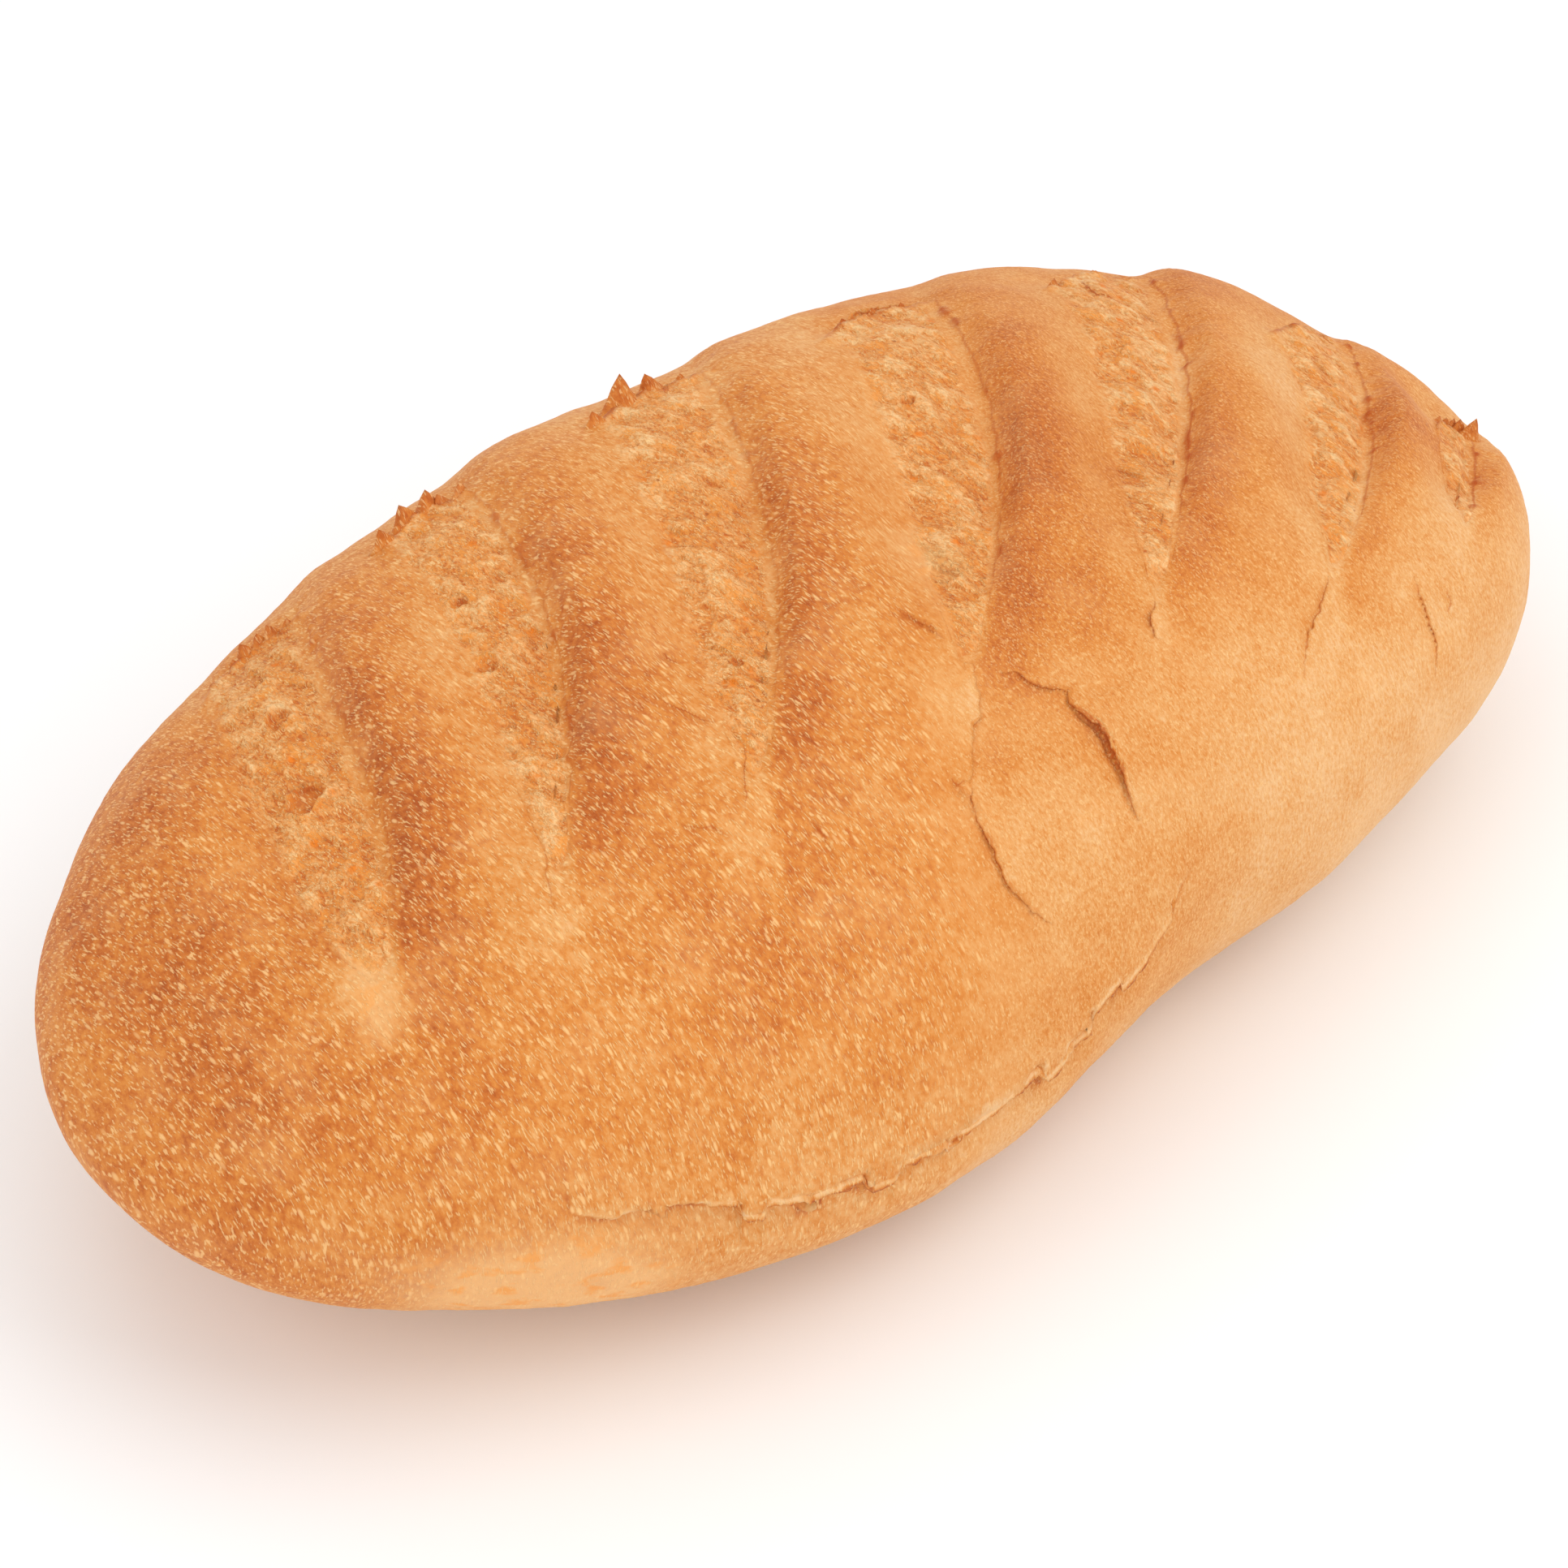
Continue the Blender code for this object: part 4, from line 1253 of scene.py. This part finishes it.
def lined(finish, colour):
    """Torn edges and beads, and the painted shade in the gaps of cracks and seams, drawn over a colour."""
    away = finish.math("ABSOLUTE", finish.attribute("edge"))
    torn = finish.times(finish.between(away, 0.40, 0.05), finish.attribute("torn"))
    edged = finish.mix(finish.times(torn, 0.50), colour, SCORCH_COLOUR)
    # The scorch colour covers scorched beads, and also the painted shade deepest in crack gaps
    beaded = finish.mix(finish.times(finish.attribute("scorch"), 0.80), edged, SCORCH_COLOUR)
    # Painted shade: a dark line in the gaps of cracks and below the torn edges of seams
    shaded_gap_line = finish.times(finish.between(away, 0.16, 0.03), finish.attribute("shaded_gap"))
    return finish.mix(finish.times(shaded_gap_line, 0.85), beaded, GAP_SHADE_COLOUR)


def finished(finish, colour, height):
    finish.shade(lined(finish, colour), LOAF_ROUGHNESS, LOAF_SHINE)
    finish.bumped(height, GRAIN_HEIGHT)
    return finish.material


def crust_finish():
    finish = Finish("crust_finish")
    return finished(finish, *crust_looks(finish))


def crumb_finish():
    """Crumb that turns to crust where the crumb fades, so that its border can't be seen."""
    finish = Finish("crumb_finish")
    crust_colour, crust_height = crust_looks(finish)
    crumb_colour, crumb_height = crumb_looks(finish)
    crumb = finish.attribute("crumb")
    height = finish.blend(crumb, crust_height, crumb_height)
    return finished(finish, finish.mix(crumb, crust_colour, crumb_colour), height)


# Camera, light and floor


IMAGE_PIXELS = 1932
FOCAL_PIXELS = 4692
SENSOR = 36.0
CAMERA_TURN, CAMERA_RISE, CAMERA_ROLL = -38.0, 42.0, -4.34  # degrees
CAMERA_DISTANCE = 0.6175
CAMERA_TARGET = Vector((-0.0151, -0.0110, 0.04275))


def camera_axes():
    turn, rise, roll = (math.radians(angle) for angle in (CAMERA_TURN, CAMERA_RISE, CAMERA_ROLL))
    back = Vector((math.sin(turn) * math.cos(rise), -math.cos(turn) * math.cos(rise), math.sin(rise)))
    right = Vector((math.cos(turn), math.sin(turn), 0.0))
    up = back.cross(right)
    return (
        math.cos(roll) * right + math.sin(roll) * up,
        math.cos(roll) * up - math.sin(roll) * right,
        back,
    )


def add_to_scene(name, data):
    item = bpy.data.objects.new(name, data)
    bpy.context.scene.collection.objects.link(item)
    return item


def set_camera():
    right, up, back = camera_axes()
    data = bpy.data.cameras.new("camera")
    data.sensor_width = SENSOR
    data.lens = FOCAL_PIXELS / IMAGE_PIXELS * SENSOR
    data.clip_start = 0.01
    camera = add_to_scene("camera", data)
    turned = Matrix((right, up, back)).transposed().to_4x4()
    camera.matrix_world = Matrix.Translation(CAMERA_TARGET + back * CAMERA_DISTANCE) @ turned
    bpy.context.scene.camera = camera


def add_light(name, across, above, toward, size, power):
    """A soft square light, placed as the camera sees it: to its right, upwards, and towards it."""
    right, _, back = camera_axes()
    flat_back = Vector((back.x, back.y, 0.0)).normalized()
    place = right * across + Vector((0, 0, above)) + flat_back * toward
    data = bpy.data.lights.new(name, "AREA")
    data.size = size
    data.energy = power
    light = add_to_scene(name, data)
    light.location = place
    light.rotation_euler = (LIT_PLACE - place).to_track_quat("-Z", "Y").to_euler()


WORLD_STRENGTH = 0.80
LIT_PLACE = Vector((0, 0, 0.04))
# Name, how far to the right, above and towards the camera, size, and power
LIGHTS = (
    ("key", 0.75, 1.00, 0.10, 0.9, 4.1),
    ("fill", -0.90, 0.75, 0.60, 1.2, 2.7),
    ("top", 0.0, 1.30, -0.40, 1.2, 2.3),
    ("front", 0.25, 0.40, 1.20, 1.2, 2.7),
)


def set_light():
    world = bpy.data.worlds.new("studio")
    world.use_nodes = True
    background = world.node_tree.nodes["Background"]
    background.inputs["Color"].default_value = (1.0, 1.0, 1.0, 1.0)
    background.inputs["Strength"].default_value = WORLD_STRENGTH
    bpy.context.scene.world = world
    for light in LIGHTS:
        add_light(*light)


FLOOR_SIZE = 6.0
FLOOR_COLOUR, FLOOR_ROUGHNESS = (0.93, 0.93, 0.93, 1.0), 0.9


def set_floor():
    deselect_all()
    bpy.ops.mesh.primitive_plane_add(size=FLOOR_SIZE, location=(0, 0, 0))
    floor = made_object("floor")
    finish = Finish("floor_finish")
    finish.shade(FLOOR_COLOUR, FLOOR_ROUGHNESS)
    floor.data.materials.append(finish.material)


# Putting it together


def within(points, box):
    """Nothing of the loaf stands out beyond the box of the solid."""
    low, high = np.array(box)
    over = np.maximum(points - high + SQUEEZE, 0.0)
    pressed = np.where(over > 0, high - SQUEEZE * np.exp(-over / SQUEEZE), points)
    under = np.maximum(low + SQUEEZE - pressed, 0.0)[:, :2]
    pressed[:, :2] = np.where(under > 0, low[:2] + SQUEEZE * np.exp(-under / SQUEEZE), pressed[:, :2])
    pressed[:, 2] = np.maximum(pressed[:, 2], low[2])
    return pressed


def place_piece(piece, material, box, node=None):
    """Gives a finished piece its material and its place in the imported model."""
    move_points(piece, within(points_of(piece), box))
    piece.data.materials.clear()
    piece.data.materials.append(material)
    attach(piece, "root")
    if node:
        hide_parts(node)


def main():
    cad_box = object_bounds()
    crust_material, crumb_material = crust_finish(), crumb_finish()
    crust = crust_piece()
    tree = surface_tree(crust)
    lifted = [crack for crack in CRACKS if crack.lift >= LEAST_LIP]
    lips = [crack_lip(tree, number, crack) for number, crack in enumerate(lifted, start=1)]
    lips += [seam_lip(tree, number, seam) for number, seam in enumerate(SEAMS, start=1)]
    teeth = [tooth_piece(tree, number, tooth) for number, tooth in enumerate(TEETH)]
    place_piece(crust, crust_material, cad_box, NODE)
    place_piece(joined(lips, "torn_lips"), crust_material, cad_box)
    place_piece(joined(teeth, "teeth"), crust_material, cad_box)
    for number, cut in enumerate(CUTS, start=1):
        place_piece(crumb_bed(number, cut), crumb_material, cad_box)
    set_floor()
    set_camera()
    set_light()
    bpy.context.scene.view_settings.view_transform = "Standard"


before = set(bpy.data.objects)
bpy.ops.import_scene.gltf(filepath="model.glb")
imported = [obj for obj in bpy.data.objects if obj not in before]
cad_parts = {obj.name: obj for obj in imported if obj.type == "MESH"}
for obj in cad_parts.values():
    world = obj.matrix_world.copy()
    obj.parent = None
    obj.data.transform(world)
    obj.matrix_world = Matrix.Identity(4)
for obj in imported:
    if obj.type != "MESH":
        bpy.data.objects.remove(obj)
main()
